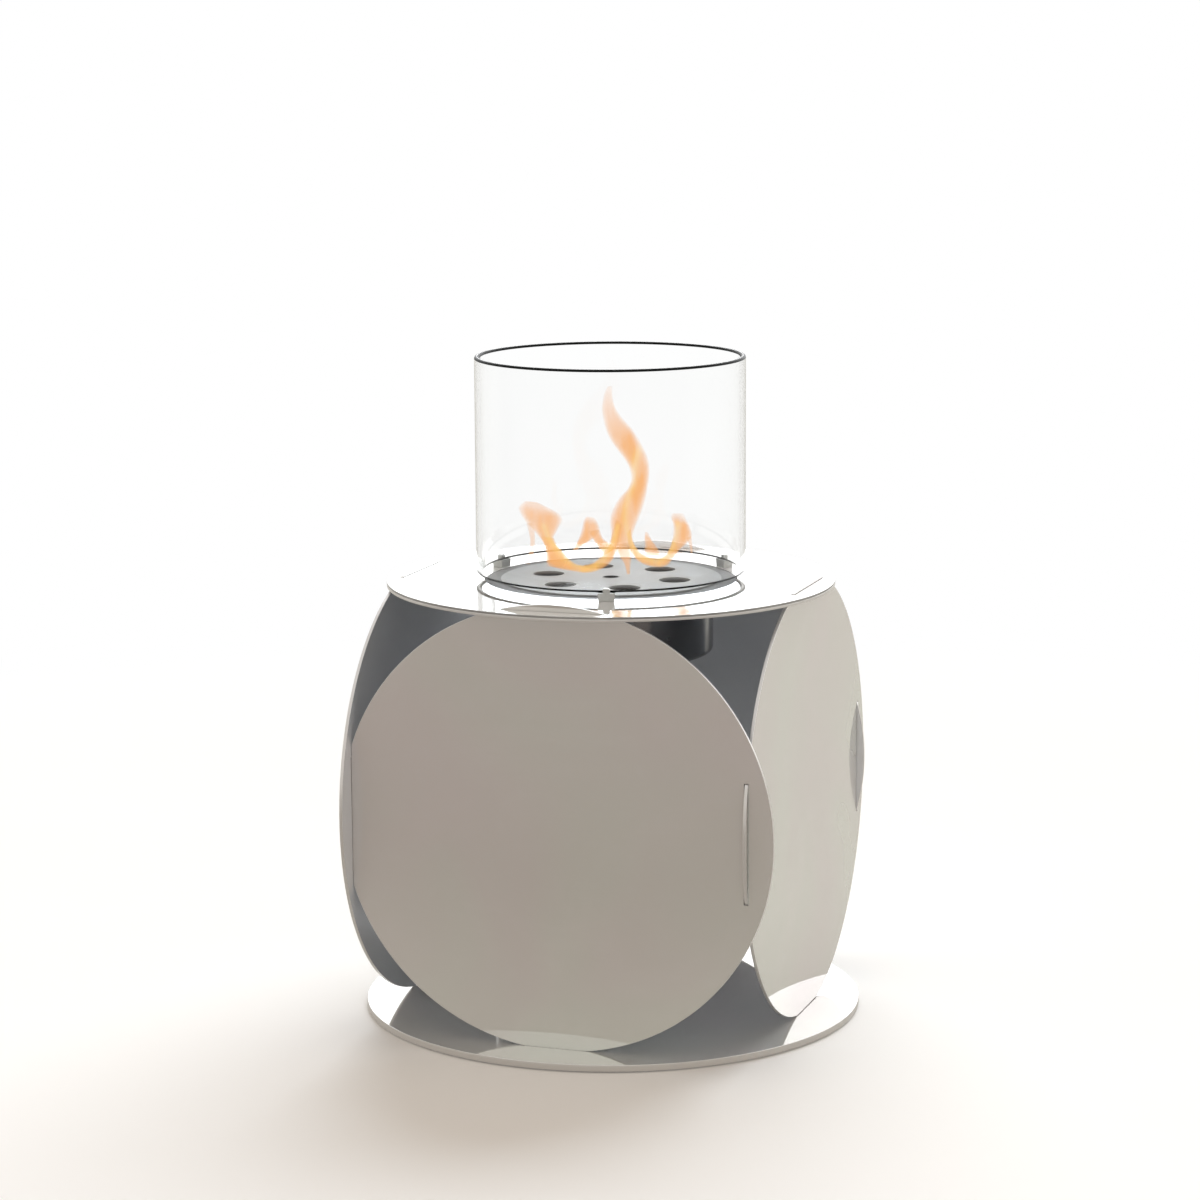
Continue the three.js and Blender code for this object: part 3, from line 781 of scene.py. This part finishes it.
# ---------------------------------------------- operators
class FIREPLACE_OT_base(bpy.types.Operator):
    """Build the mirror-polished base plate and the four pads under it"""
    bl_idname = "fireplace.base"
    bl_label = "Base plate and pads"

    def execute(self, context):
        own = sizes()
        grooves = [(loop, panel_low.z - SHOULDER_CLEAR) for loop in all_round(level_slot(seat_half))]
        thick_sheet = 1.6  # its edge is rounder than the other sheets'
        mesh = sheet_mesh("base", ring(base_high.x, own.round_steps), [], base_low.z, base_high.z,
                          own.edge_round * thick_sheet, grooves)
        settle_mesh("base_mirror", mesh, coat("Polished base steel"), "stand", "mirror_steel", "base_plate")

        low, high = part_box("pad_1")
        r, e = (high - low).x / 2, 0.0004
        pad = lathe_mesh("pad", [(0, low.z), *corner_arc(r - e, low.z + e, e, -1, 0, 3),
                                 *corner_arc(r - e, high.z - e, e, 0, 1, 3), (0, high.z)], 48)
        pads = ring_of("base_pads", above_node(pad, "pad_1"), 4, coat("Pad rubber"))
        settle(pads, "stand", "pad_rubber", "pad_1", "pad_2", "pad_3", "pad_4")
        return {"FINISHED"}


class FIREPLACE_OT_discs(bpy.types.Operator):
    """Build the four upright discs that interlock as a pinwheel"""
    bl_idname = "fireplace.discs"
    bl_label = "Interlocked discs"

    def execute(self, context):
        own = sizes()
        reach = tenon_half + SLOT_CLEAR
        middle = PANEL_FACE - PANEL_SHEET / 2 - PANEL_MIDDLE.x
        half = PANEL_SHEET / 2 + SLOT_CLEAR
        slot = rectangle(middle - half, middle + half, -reach, reach)
        mesh = sheet_mesh("disc", disc_outline(own.round_steps), [slot], PANEL_FACE - PANEL_SHEET, PANEL_FACE,
                          own.edge_round)
        upright = Matrix(((1, 0, 0, PANEL_MIDDLE.x), (0, 0, -1, 0), (0, 1, 0, PANEL_MIDDLE.z), (0, 0, 0, 1)))
        mesh.transform(upright)
        discs = ring_of("mirror_discs", mesh, 4, coat("Polished steel"))
        settle(discs, "stand", "mirror_steel", *[f"panel_{side}" for side in SIDES])
        return {"FINISHED"}


class FIREPLACE_OT_brackets(bpy.types.Operator):
    """Build the folded brackets between the discs and the base, with their screws"""
    bl_idname = "fireplace.brackets"
    bl_label = "Brackets and screws"

    def execute(self, context):
        (x0, y0, z0), (x1, y1, z1) = bracket_low, bracket_high
        bend = y0 + BRACKET_BEND, z0 + BRACKET_BEND
        outline = [
            *corner_arc(*bend, BRACKET_BEND, 2, 3, 6), (y1, z0), (y1, z0 + BRACKET_SHEET),
            *corner_arc(*bend, BRACKET_BEND - BRACKET_SHEET, 3, 2, 6), (y0 + BRACKET_SHEET, z1), (y0, z1)]
        brackets = ring_of("brackets", bars_mesh("bracket", (outline, x0, x1)), 4, coat("Satin burner steel"),
                           rounding=(SMALL_ROUND, 2, 40))
        settle(brackets, "stand", "satin_steel", *[f"bracket_{side}" for side in SIDES])

        low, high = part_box("screw_front_1")
        seat, head, socket, socket_edge = base_high.z + BRACKET_SHEET, (high - low).x / 2, 0.0013, 0.0019
        straight = 0.0004  # the head's upright rim, and the point of its socket
        dome = [(head * math.cos(a), seat + straight + (high.z - seat - straight) * math.sin(a))
                for a in (QUARTER * k / 8 for k in range(7))]
        screw = lathe_mesh("screw", [
            (0, low.z), (STUD_RADIUS - STUD_BEVEL, low.z), (STUD_RADIUS, low.z + STUD_BEVEL),
            (STUD_RADIUS, seat), (head, seat), *dome, (socket_edge, high.z), (socket, high.z),
            (socket, high.z - socket), (0, high.z - socket - straight)], 36)
        pair = joined(
            "screw pair", above_node(screw.copy(), "screw_front_1"), above_node(screw, "screw_front_2"))
        screws = ring_of("bracket_screws", pair, 4, coat("Heat-darkened steel"))
        settle(screws, "stand", "dark_steel", *[f"screw_{side}_{k}" for side in SIDES for k in (1, 2)])
        return {"FINISHED"}


class FIREPLACE_OT_top(bpy.types.Operator):
    """Build the two plates of the top, with the slots for the discs and the hole for the burner"""
    bl_idname = "fireplace.top"
    bl_label = "Top plates"

    def execute(self, context):
        own = sizes()
        slots = all_round(level_slot(crown_half))
        studs = all_round(ring(STUD_HOLE, 24, GLASS_RADIUS), 3, CLIP_FIRST)
        for name, node, hole, finish in (
            ("top_mirror", "top_plate", DECK_RADIUS + DECK_CLEAR, "Polished top steel"),
            ("top_under", "top_backing", TANK_RADIUS + TANK_CLEAR, "Polished steel"),
        ):
            low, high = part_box(node)
            openings = [ring(hole, own.round_steps), *slots, *studs]
            mesh = sheet_mesh(name, ring(top_high.x, own.round_steps), openings, low.z, high.z, own.edge_round)
            settle_mesh(name, mesh, coat(finish), "stand", "mirror_steel", node)
        return {"FINISHED"}


class FIREPLACE_OT_burner(bpy.types.Operator):
    """Build the burner: its deck with the filling tube, the tank and the ceramic fibre"""
    bl_idname = "fireplace.burner"
    bl_label = "Burner"

    def execute(self, context):
        self.deck()
        self.tank()
        self.fibre()
        return {"FINISHED"}

    def deck(self):
        own = sizes()
        under, face = tank_high.z, cover_low.z - PLAY
        turns = [TAU * i / HOLE_COUNT for i in range(HOLE_COUNT)]
        holes = [ring(HOLE_RADIUS, 64, HOLE_RING * math.cos(a), HOLE_RING * math.sin(a)) for a in turns]
        holes.append(ring(TUBE_RADIUS - 0.0004, 64))  # the tube fills this one
        turn, half, depth = math.pi / HOLE_COUNT, 0.0014, 0.0009
        groove = arc_of(PIN_RING + half, 0, turn, 12) + arc_of(PIN_RING - half, turn, 0, 12)
        flat = sheet_mesh("deck", ring(DECK_RADIUS, own.round_steps), holes, under, face, own.edge_round,
                          [(groove, face - depth)])
        e, bore = SMALL_ROUND, 9  # the bore is the segment from the last point back to the first
        tube = lathe_mesh("tube", [
            (BORE_RADIUS, deck_low.z), (TUBE_RADIUS, deck_low.z),
            *corner_arc(TUBE_RADIUS - e, deck_high.z - e, e, 0, 1, 3),
            *corner_arc(BORE_RADIUS + e, deck_high.z - e, e, 1, 2, 3)], 64, second_slot=(bore,))
        mesh = joined("burner_deck_satin", flat, tube)
        mesh.materials.append(coat("Satin deck steel"))
        settle_mesh("burner_deck_satin", mesh, coat("Heat-darkened steel"),
                    "burner", "satin_steel", "burner_deck")

    def tank(self):
        r, bottom = TANK_RADIUS, tank_low.z
        dish, dish_edge, flat_edge = 0.0010, r - 0.020, r - 0.0135  # a shallow dish stiffens the bottom
        mesh = lathe_mesh("tank", [
            (0, bottom + dish), (dish_edge, bottom + dish), (r - 0.0185, bottom + dish * 0.75),
            (r - 0.015, bottom + dish * 0.2), (flat_edge, bottom),
            *corner_arc(r - TANK_BEND, bottom + TANK_BEND, TANK_BEND, -1, 0, 10),
            (r, bottom + 0.030), (r, bottom + 0.052), (r, tank_high.z),
            (r - TANK_SHEET, tank_high.z), (r - TANK_SHEET, bottom + 0.030),
            *corner_arc(r - TANK_BEND, bottom + TANK_BEND, TANK_BEND - TANK_SHEET, 0, -1, 8),
            (flat_edge, bottom + TANK_SHEET), (dish_edge, bottom + TANK_SHEET + dish),
            (0, bottom + TANK_SHEET + dish)], 200)
        settle_mesh("burner_tank_dark", mesh, coat("Heat-darkened steel"),
                    "burner", "dark_steel", "burner_tank")

    def fibre(self):
        r, bottom, top = wool_high.x, wool_low.z + 0.0004, wool_high.z
        shoulder, level, rings = r - 0.006, top - 0.0012, 30
        tuft_scale, tuft_height, above = 160, 0.0011, top - 0.0040
        mesh = lathe_mesh("wool", [
            (0, bottom), (shoulder, bottom), (r - 0.001, wool_low.z + 0.006), (r - 0.0005, top - 0.006),
            (r - 0.0008, top - 0.003), (r - 0.003, level),
            *[(shoulder - k * shoulder / rings, level) for k in range(rings)], (0, level)], 180)
        for v in mesh.vertices:
            if v.co.z > above:
                tuft = noise.fractal(Vector((v.co.x * tuft_scale, v.co.y * tuft_scale, 3.0)), 0.9, 2.2, 4)
                v.co.z = min(top, v.co.z + tuft_height * tuft)
        settle_mesh("burner_fibre", mesh, coat("Ceramic fibre"), "burner", "ceramic_wool", "burner_wool")


class FIREPLACE_OT_regulator(bpy.types.Operator):
    """Build the turning regulator disc and its stop pin"""
    bl_idname = "fireplace.regulator"
    bl_label = "Regulator disc"

    def execute(self, context):
        made = object_of("regulator_satin", bpy.data.meshes.new("regulator"))
        run_tree(made, perforated_tree(), Radius=COVER_RADIUS, Thickness=cover_high.z - cover_low.z,
                 Height=cover_low.z, Hole_Radius=HOLE_RADIUS, Ring_Radius=HOLE_RING,
                 Middle_Radius=TUBE_RADIUS + TUBE_CLEAR, Stop_Radius=PIN_RADIUS + PIN_CLEAR, Stop_Ring=PIN_RING,
                 Hole_Count=HOLE_COUNT, Facets=sizes().round_steps, Material=coat("Satin burner steel"))
        round_edges(made, 0.00025, 3, 50)
        settle(bake_modifiers(made), "regulator", "satin_steel", "regulator_disc")

        r, e = PIN_RADIUS, SMALL_ROUND
        pin = lathe_mesh("pin", [(0, pin_low.z), (r - e, pin_low.z), (r, pin_low.z + e),
                                 *corner_arc(r - e, pin_high.z - e, e, 0, 1), (0, pin_high.z)], 32)
        settle_mesh("regulator_pin_head", moved(pin, PIN_RING), coat("Heat-darkened steel"),
                    "regulator", "dark_steel", "regulator_pin")
        return {"FINISHED"}


class FIREPLACE_OT_glass(bpy.types.Operator):
    """Build the glass cylinder with its polished edges"""
    bl_idname = "fireplace.glass"
    bl_label = "Glass cylinder"

    def execute(self, context):
        own = sizes()
        outer, inner, e = GLASS_RADIUS, GLASS_RADIUS - GLASS_WALL, own.glass_edge
        low, high = glass_low.z, glass_high.z
        profile = [
            (inner + GLASS_FOOT, low), (outer - GLASS_FOOT, low), (outer, low + GLASS_FOOT),
            *corner_arc(outer - e, high - e, e, 0, 1), *corner_arc(inner + e, high - e, e, 1, 2),
            (inner, low + GLASS_FOOT),
        ]
        # The bends get the near-black edge material, a painted shade for the dark lines of the glass's edges.
        clear = (0, 2, 7, 12)  # foot, outer wall, top and inner wall; the bends between them look dark
        dark = [k for k in range(len(profile)) if k not in clear]
        mesh = lathe_mesh("glass", profile, own.round_steps, second_slot=dark)
        mesh.materials.append(coat("Clear borosilicate glass"))
        settle_mesh("glass_clear", mesh, coat("Glass edge painted dark"), "glass", "clear_glass", "glass_cylinder")
        return {"FINISHED"}


class FIREPLACE_OT_holders(bpy.types.Operator):
    """Build the three holders that the glass stands on, and the nuts under them"""
    bl_idname = "fireplace.holders"
    bl_label = "Glass holders"

    def execute(self, context):
        face, seat, tip = top_high.z, glass_low.z, glass_low.z + 0.0042
        near, wall, far = GLASS_RADIUS - CLIP_REACH, GLASS_RADIUS + 0.0003, GLASS_RADIUS + CLIP_REACH
        foot = [(-0.007, face), (0.007, face), (0.008, seat), (-0.008, seat)]
        half, narrow, root, neck = 0.0032, 0.0022, seat - 0.0002, tip - 0.001
        stop = [(-half, root), (half, root), (half, neck), (narrow, tip), (-narrow, tip), (-half, neck)]
        bars = bars_mesh("holder", (foot, near, far), (stop, wall, far - 0.0001))
        stud_low, stud_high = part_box("glass_clip_1")[0].z, face + 0.0004
        stud = lathe_mesh("stud", [
            (0, stud_low), (STUD_RADIUS - STUD_BEVEL, stud_low), (STUD_RADIUS, stud_low + STUD_BEVEL),
            (STUD_RADIUS, stud_high), (0, stud_high)], 32)
        mesh = joined("holders", bars, moved(stud, GLASS_RADIUS))
        holders = ring_of("glass_holders", mesh, 3, coat("Holder steel"), CLIP_FIRST, (SMALL_ROUND, 2, 35))
        settle(holders, "stand", "clip_steel", "glass_clip_1", "glass_clip_2", "glass_clip_3")

        nut = sheet_mesh("nut", ring(NUT_ACROSS / math.sqrt(3), 6), [ring(STUD_HOLE, 24)],
                         backing_low.z - NUT_HEIGHT, backing_low.z, SMALL_ROUND)
        nuts = ring_of("holder_nuts", moved(nut, GLASS_RADIUS), 3, coat("Heat-darkened steel"), CLIP_FIRST)
        settle(nuts, "stand", "dark_steel", "clip_nut_1", "clip_nut_2", "clip_nut_3")
        return {"FINISHED"}


# ---------------------------------------------- the flames
MM = 0.001
ROWS_BETWEEN = 6  # rows of a ribbon from one listed point to the next
ACROSS = 12  # faces across a ribbon
EYE_UP = 552  # the camera's height over the regulator, in millimetres
EYE_AWAY = 3260  # its distance from the middle axis, in millimetres

# Each flame is (how far behind the middle, density at its root, body and tip, [(one edge's place along and
# height, the other edge's), ...]) in millimetres over the regulator, listed from its root to its tip.
FLAMES = {
    "tall": (10, 0.55, 0.88, 0.14, [
        (15.1, -1.0, 17.6, -1.4), (12.2, 9.7, 18.4, 9.0), (6.2, 19.2, 19.7, 17.8), (0.8, 29.9, 19.7, 27.8),
        (0.2, 40.4, 20.6, 38.2), (-0.3, 51.8, 25.0, 50.7), (2.6, 62.2, 29.3, 61.7), (8.8, 72.6, 32.5, 72.5),
        (15.8, 80.4, 34.3, 81.8), (19.2, 89.1, 35.8, 91.5), (18.4, 97.4, 36.0, 101.1),
        (14.9, 105.7, 34.0, 110.6), (7.8, 115.7, 29.9, 119.7), (1.1, 125.0, 25.1, 128.4),
        (-3.8, 135.4, 19.3, 137.1), (-6.4, 145.7, 11.6, 145.8), (-7.6, 155.0, 5.5, 154.9),
        (-6.9, 163.2, 2.7, 163.5), (-5.3, 170.6, 2.1, 171.0), (-2.4, 176.3, 2.3, 176.3)]),
    "left": (5, 0.3, 0.86, 0.35, [
        (-60.3, 8.7, -43.8, 6.6), (-60.2, 19.2, -40.6, 17.4), (-61.4, 27.5, -48.8, 27.0),
        (-65.2, 34.6, -53.3, 35.0), (-70.7, 41.5, -50.5, 41.4), (-76.4, 47.8, -47.4, 47.6),
        (-81.7, 55.1, -45.7, 52.8), (-84.9, 61.7, -49.2, 58.7), (-84.5, 65.9, -57.4, 63.7),
        (-79.9, 70.2, -68.0, 69.1)]),
    "left_tail": (0, 0.15, 0.45, 0.3, [
        (-79.0, 12.2, -75.4, 11.3), (-76.2, 22.6, -71.6, 22.1), (-75.0, 33.0, -70.2, 32.9),
        (-76.4, 42.3, -70.4, 42.3), (-78.7, 50.6, -71.1, 49.6)]),
    "sweep_left": (8, 0.6, 0.9, 0.65, [
        (-52.7, 34.7, -65.2, 36.8), (-51.1, 29.9, -60.6, 23.3), (-47.2, 24.7, -59.5, 11.2),
        (-40.9, 17.3, -49.6, 6.1), (-33.5, 11.2, -35.6, 3.5), (-25.3, 9.3, -24.3, 1.8),
        (-16.2, 11.8, -12.9, 3.6), (-8.7, 18.6, -3.4, 8.8), (-3.1, 26.1, 3.0, 16.3), (-0.0, 34.4, 6.3, 26.1),
        (2.1, 42.8, 8.2, 36.5), (5.0, 52.1, 10.3, 46.9)]),
    "small": (40, 0.3, 0.86, 0.15, [
        (-36.5, 18.4, -33.6, 16.7), (-32.3, 25.1, -26.4, 22.6), (-29.3, 31.6, -17.1, 29.0),
        (-27.0, 39.4, -10.8, 36.8), (-25.5, 46.3, -12.8, 44.8), (-23.2, 50.3, -16.1, 49.4)]),
    "small_leg": (40, 0.6, 0.88, 0.75, [
        (-20.8, 35.8, -10.4, 37.8), (-16.6, 28.0, -7.5, 29.4), (-11.7, 20.4, -0.9, 24.5),
        (-6.3, 13.2, 4.9, 19.9)]),
    "sweep_right": (14, 0.55, 0.9, 0.6, [
        (18.6, 42.8, 14.7, 37.6), (20.2, 33.4, 16.1, 28.2), (23.1, 26.1, 18.9, 19.8),
        (28.0, 20.2, 24.7, 12.3), (35.4, 16.0, 32.5, 8.0), (43.9, 14.7, 42.8, 5.9), (51.1, 18.0, 51.9, 7.1),
        (55.2, 25.1, 57.7, 13.3), (57.7, 33.2, 63.1, 21.7)]),
    "right": (14, 0.35, 0.88, 0.15, [
        (52.8, 19.2, 58.5, 12.3), (55.7, 25.9, 63.9, 21.7), (57.7, 33.2, 70.1, 27.5),
        (58.6, 41.5, 75.5, 34.6), (58.0, 47.8, 73.8, 43.6), (56.3, 52.4, 70.8, 49.8),
        (57.0, 56.8, 67.7, 56.7)]),
    "right_leg": (14, 0.5, 0.4, 0.05, [
        (70.1, 33.1, 75.5, 35.2), (72.6, 27.9, 76.1, 28.9), (74.2, 21.6, 76.5, 21.6),
        (74.6, 14.3, 75.9, 14.1)]),
    "right_small": (30, 0.6, 0.72, 0.15, [
        (30.2, 14.6, 48.0, 14.1), (31.7, 23.0, 43.1, 23.0), (31.5, 30.8, 38.1, 29.7),
        (32.1, 37.1, 34.8, 36.7)]),
}
# The bright streaks, as (place along, height, half width).
STREAKS = [
    [(27.7, 119.1, 2.7), (22.9, 105.7, 2.9), (21.0, 93.3, 3.1), (20.0, 83.9, 2.9), (16.8, 73.6, 2.5),
     (13.7, 62.2, 2.3), (13.3, 51.8, 2.3), (15.3, 41.3, 2.3), (18.5, 29.9, 2.3), (23.2, 20.4, 2.3),
     (27.5, 15.8, 2.1)],
    [(-16.6, 6.8, 3.3), (-7.5, 14.7, 3.1), (-1.3, 23.0, 2.5), (2.9, 33.4, 2.1), (6.4, 45.9, 1.5)],
    [(-62.1, 46.2, 2.1), (-57.6, 34.7, 2.7), (-49.9, 24.9, 3.3), (-39.7, 14.0, 3.3), (-27.4, 6.0, 3.3),
     (-16.6, 6.8, 3.3)],
    [(27.4, 15.2, 2.1), (43.9, 10.9, 3.3), (54.4, 18.0, 2.7), (58.6, 28.0, 2.5), (61.0, 38.4, 2.5),
     (62.7, 45.7, 2.5)],
]


def along_path(points, share):
    """A point of the smooth curve through the listed points, at a share of its way."""
    at = share * (len(points) - 1)
    i = min(int(at), len(points) - 2)
    t = at - i
    a, b, c, d = (Vector(points[max(0, min(len(points) - 1, i + k))]) for k in (-1, 0, 1, 2))
    square, cube = 2 * a - 5 * b + 4 * c - d, 3 * b - a - 3 * c + d
    return 0.5 * (2 * b + (c - a) * t + square * t * t + cube * t * t * t)


def streak_glow(here):
    """How near a place is to the nearest bright streak, from 0 to 1."""
    best = 0.0
    for line in STREAKS:
        for a, b in zip(line, line[1:]):
            start, way = Vector(a[:2]), Vector(b[:2]) - Vector(a[:2])
            t = max(0.0, min(1.0, (here - start).dot(way) / way.length_squared))
            width = 1.3 * (a[2] + (b[2] - a[2]) * t)
            best = max(best, math.exp(-(((here - start - way * t).length / width) ** 2)))
    return best


def flame_strength(share, root, body, tip):
    """Density of a flame at a share of its way from root to tip: it thins out at both ends."""
    rooted, thinning = 0.2, 0.7
    if share > thinning:
        return tip + (body - tip) * (1 - share) / (1 - thinning)
    return root + (body - root) * min(1.0, share / rooted)


class FIREPLACE_OT_flames(bpy.types.Operator):
    """Build the flames as soft ribbons of light over the burner's holes"""
    bl_idname = "fireplace.flames"
    bl_label = "Flames"

    def execute(self, context):
        own = sizes()
        turn = Matrix.Rotation(own.flame_turn, 4, "Z")
        base = cover_high.z + 0.0004
        bm = bmesh.new()
        density = bm.verts.layers.float.new("flame_body")
        core = bm.verts.layers.float.new("flame_core")
        for behind, root, body, tip, edges in FLAMES.values():
            for side_on in (False, True):
                rows = []
                steps = ROWS_BETWEEN * (len(edges) - 1)
                for i in range(steps + 1):
                    ax, ay, bx, by = along_path(edges, i / steps)
                    middle, half = Vector((ax + bx, ay + by)) / 2, Vector((bx - ax, by - ay)) * 0.53
                    strength = flame_strength(i / steps, root, body, tip) * (0.5 if side_on else 1.0)
                    row = []
                    for k in range(ACROSS + 1):
                        u = -1 + 2 * k / ACROSS
                        if side_on:
                            spot, depth = middle, u * half.length * 0.5
                        else:
                            spot, depth = middle + half * u, (1 - u * u) * half.length * 0.25
                        spot = spot + Vector((spot.x, spot.y - EYE_UP)) * depth / EYE_AWAY
                        height = base + max(0.0, spot.y * own.flame_height) * MM
                        v = bm.verts.new(turn @ Vector((spot.x * MM, (behind + depth) * MM, height)))
                        v[density] = strength * max(0.0, 1 - abs(u) ** 3.4) ** 0.9
                        v[core] = streak_glow(spot)
                        row.append(v)
                    rows.append(row)
                for a, b in zip(rows, rows[1:]):
                    for k in range(ACROSS):
                        bm.faces.new((a[k], a[k + 1], b[k + 1], b[k])).smooth = True
        mesh = mesh_from(bm, "flames")
        mesh.materials.append(coat("Flame"))
        made = object_of("flames", mesh)
        made.visible_glossy = False  # their reflection would paint the white top plate orange
        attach(made, "burner")
        return {"FINISHED"}


# ---------------------------------------------- the stage
CAMERA_PLACE = (1.04002, -3.08968, 0.95933)
CAMERA_RIGHT = Vector((0.947018, 0.321134, -0.005367))
CAMERA_UP = Vector((-0.050741, 0.166092, 0.984804))
CAMERA_LENS = 106.688
KEY_TINT = (0.88, 0.96, 1.03)
FLOOR_HALF = 9.0


def stage_camera():
    view = bpy.data.cameras.new("Camera")
    view.sensor_width, view.lens, view.clip_end = 36.0, CAMERA_LENS, 60.0
    camera = bpy.data.objects.new("Camera", view)
    turn = Matrix((CAMERA_RIGHT, CAMERA_UP, CAMERA_RIGHT.cross(CAMERA_UP))).transposed()
    camera.matrix_world = Matrix.Translation(CAMERA_PLACE) @ turn.to_4x4()
    bpy.context.scene.collection.objects.link(camera)
    bpy.context.scene.camera = camera


def floor_paint():
    """A pale floor that takes the shadow and ends in the white background; to the steel it shows a painted
    shade, darker in front and paler behind.
    """
    made = bpy.data.materials.new("Pale floor")
    made.use_nodes = True
    net = Net(made.node_tree)
    net.tree.nodes.clear()
    where = net.outs("ShaderNodeTexCoord")["Object"]
    away = net.outs("ShaderNodeVectorMath", {0: where}, operation="LENGTH")["Value"]
    pale = net.mix(net.noise(where, 3.0, 3.0), (0.915, 0.905, 0.890), (0.935, 0.925, 0.912))
    # Painted shade for the steel: what polished pieces see of the floor is darker in front and paler behind.
    painted_floor_shade = net.mix(net.step(net.parts(where)[1], -0.9, 0.5), (0.35, 0.30, 0.265), (0.70, 0.67, 0.60))
    path = net.outs("ShaderNodeLightPath")
    glossy = net.math("SUBTRACT", path["Is Glossy Ray"], path["Is Transmission Ray"], clamp=True)
    near = net.out("ShaderNodeBsdfDiffuse", {"Color": pale})
    far = net.out("ShaderNodeEmission", {"Color": net.mix(glossy, (1.0, 1.0, 1.0), painted_floor_shade), "Strength": 1.0})
    fade = net.math("MAXIMUM", net.step(away, 1.0, 1.9), glossy)
    blend = net.out("ShaderNodeMixShader", {0: fade, 1: near, 2: far})
    net.outs("ShaderNodeOutputMaterial", {"Surface": blend})
    return made


def room(room_light, to_key):
    """A white background, soft light from all round, and a brighter room in what is polished."""
    world = bpy.data.worlds.new("Room")
    world.use_nodes = True
    net = Net(world.node_tree)
    net.tree.nodes.clear()
    way = net.outs("ShaderNodeTexCoord")["Generated"]
    ahead, up = net.parts(way)[1:3]
    glow = net.mix(net.step(ahead, -0.25, 0.45), (1.05, 1.02, 0.99), (1.5, 1.51, 1.52))
    glow = net.mix(net.step(up, 0.02, 0.09), (0.95, 0.92, 0.88), glow)
    glow = net.mix(net.step(up, 0.45, 0.75), glow, (1.15, 1.15, 1.15))
    facing = net.outs("ShaderNodeVectorMath", {0: way, 1: to_key}, operation="DOT_PRODUCT")["Value"]
    lamp = net.step(facing, math.cos(math.radians(42)), math.cos(math.radians(26)))
    glow = net.mix(lamp, glow, (2.5, 2.52, 2.55))
    plain, polished, white = (
        net.out("ShaderNodeBackground", {"Color": colour, "Strength": 1.0})
        for colour in ((*room_light, 1.0), glow, (1.0, 1.0, 1.0, 1.0)))
    path = net.outs("ShaderNodeLightPath")
    seen = net.math("MAXIMUM", path["Is Camera Ray"], path["Is Transmission Ray"])
    first = net.out("ShaderNodeMixShader", {0: path["Is Glossy Ray"], 1: plain, 2: polished})
    last = net.out("ShaderNodeMixShader", {0: seen, 1: first, 2: white})
    net.outs("ShaderNodeOutputWorld", {"Surface": last})
    return world


class FIREPLACE_OT_stage(bpy.types.Operator):
    """Set up the pale floor, the soft light and the camera"""
    bl_idname = "fireplace.stage"
    bl_label = "Floor, light and camera"

    def execute(self, context):
        scene = context.scene
        own = scene.fireplace_stage
        scene.view_settings.view_transform = "Standard"
        stage_camera()

        bm = bmesh.new()
        bmesh.ops.create_grid(bm, x_segments=8, y_segments=8, size=FLOOR_HALF)
        floor = object_of("floor", mesh_from(bm, "floor"))
        floor.data.materials.append(floor_paint())

        lamp = bpy.data.lights.new("Key", "SUN")
        lamp.energy, lamp.angle, lamp.color = own.key_strength, own.key_width, KEY_TINT
        key = bpy.data.objects.new("Key", lamp)
        scene.collection.objects.link(key)
        level, up = math.cos(own.key_height), math.sin(own.key_height)
        to_key = Vector((-math.sin(own.key_turn) * level, math.cos(own.key_turn) * level, up))
        key.matrix_world = to_key.to_track_quat("Z", "Y").to_matrix().to_4x4()
        key.visible_glossy = False  # polished pieces see the room's own soft light instead
        scene.world = room(own.room_light, to_key)
        return {"FINISHED"}


class FIREPLACE_PT_tools(bpy.types.Panel):
    bl_idname = "FIREPLACE_PT_tools"
    bl_label = "Fireplace"
    bl_space_type = "VIEW_3D"
    bl_region_type = "UI"
    bl_category = "Fireplace"

    def draw(self, context):
        for operator in OPERATORS:
            self.layout.operator(operator.bl_idname)
        for name, group_class in GROUPS.items():
            column = self.layout.column()
            for setting in group_class.__annotations__:
                column.prop(getattr(context.scene, name), setting)


OPERATORS = (
    FIREPLACE_OT_base, FIREPLACE_OT_discs, FIREPLACE_OT_brackets, FIREPLACE_OT_top, FIREPLACE_OT_burner,
    FIREPLACE_OT_regulator, FIREPLACE_OT_glass, FIREPLACE_OT_holders, FIREPLACE_OT_flames, FIREPLACE_OT_stage,
)
GROUPS = {
    "fireplace_sizes": FireplaceSizes,
    "fireplace_colours": FireplaceColours,
    "fireplace_stage": FireplaceStage,
}
CLASSES = (*GROUPS.values(), *OPERATORS, FIREPLACE_PT_tools)


def register():
    for cls in CLASSES:
        bpy.utils.register_class(cls)
    for name, cls in GROUPS.items():
        setattr(bpy.types.Scene, name, bpy.props.PointerProperty(type=cls))


def unregister():
    for name in GROUPS:
        delattr(bpy.types.Scene, name)
    for cls in reversed(CLASSES):
        bpy.utils.unregister_class(cls)


def main():
    register()
    bpy.ops.fireplace.base()
    bpy.ops.fireplace.discs()
    bpy.ops.fireplace.brackets()
    bpy.ops.fireplace.top()
    bpy.ops.fireplace.burner()
    bpy.ops.fireplace.regulator()
    bpy.ops.fireplace.glass()
    bpy.ops.fireplace.holders()
    bpy.ops.fireplace.flames()
    bpy.ops.fireplace.stage()


if __name__ == "__main__":
    main()
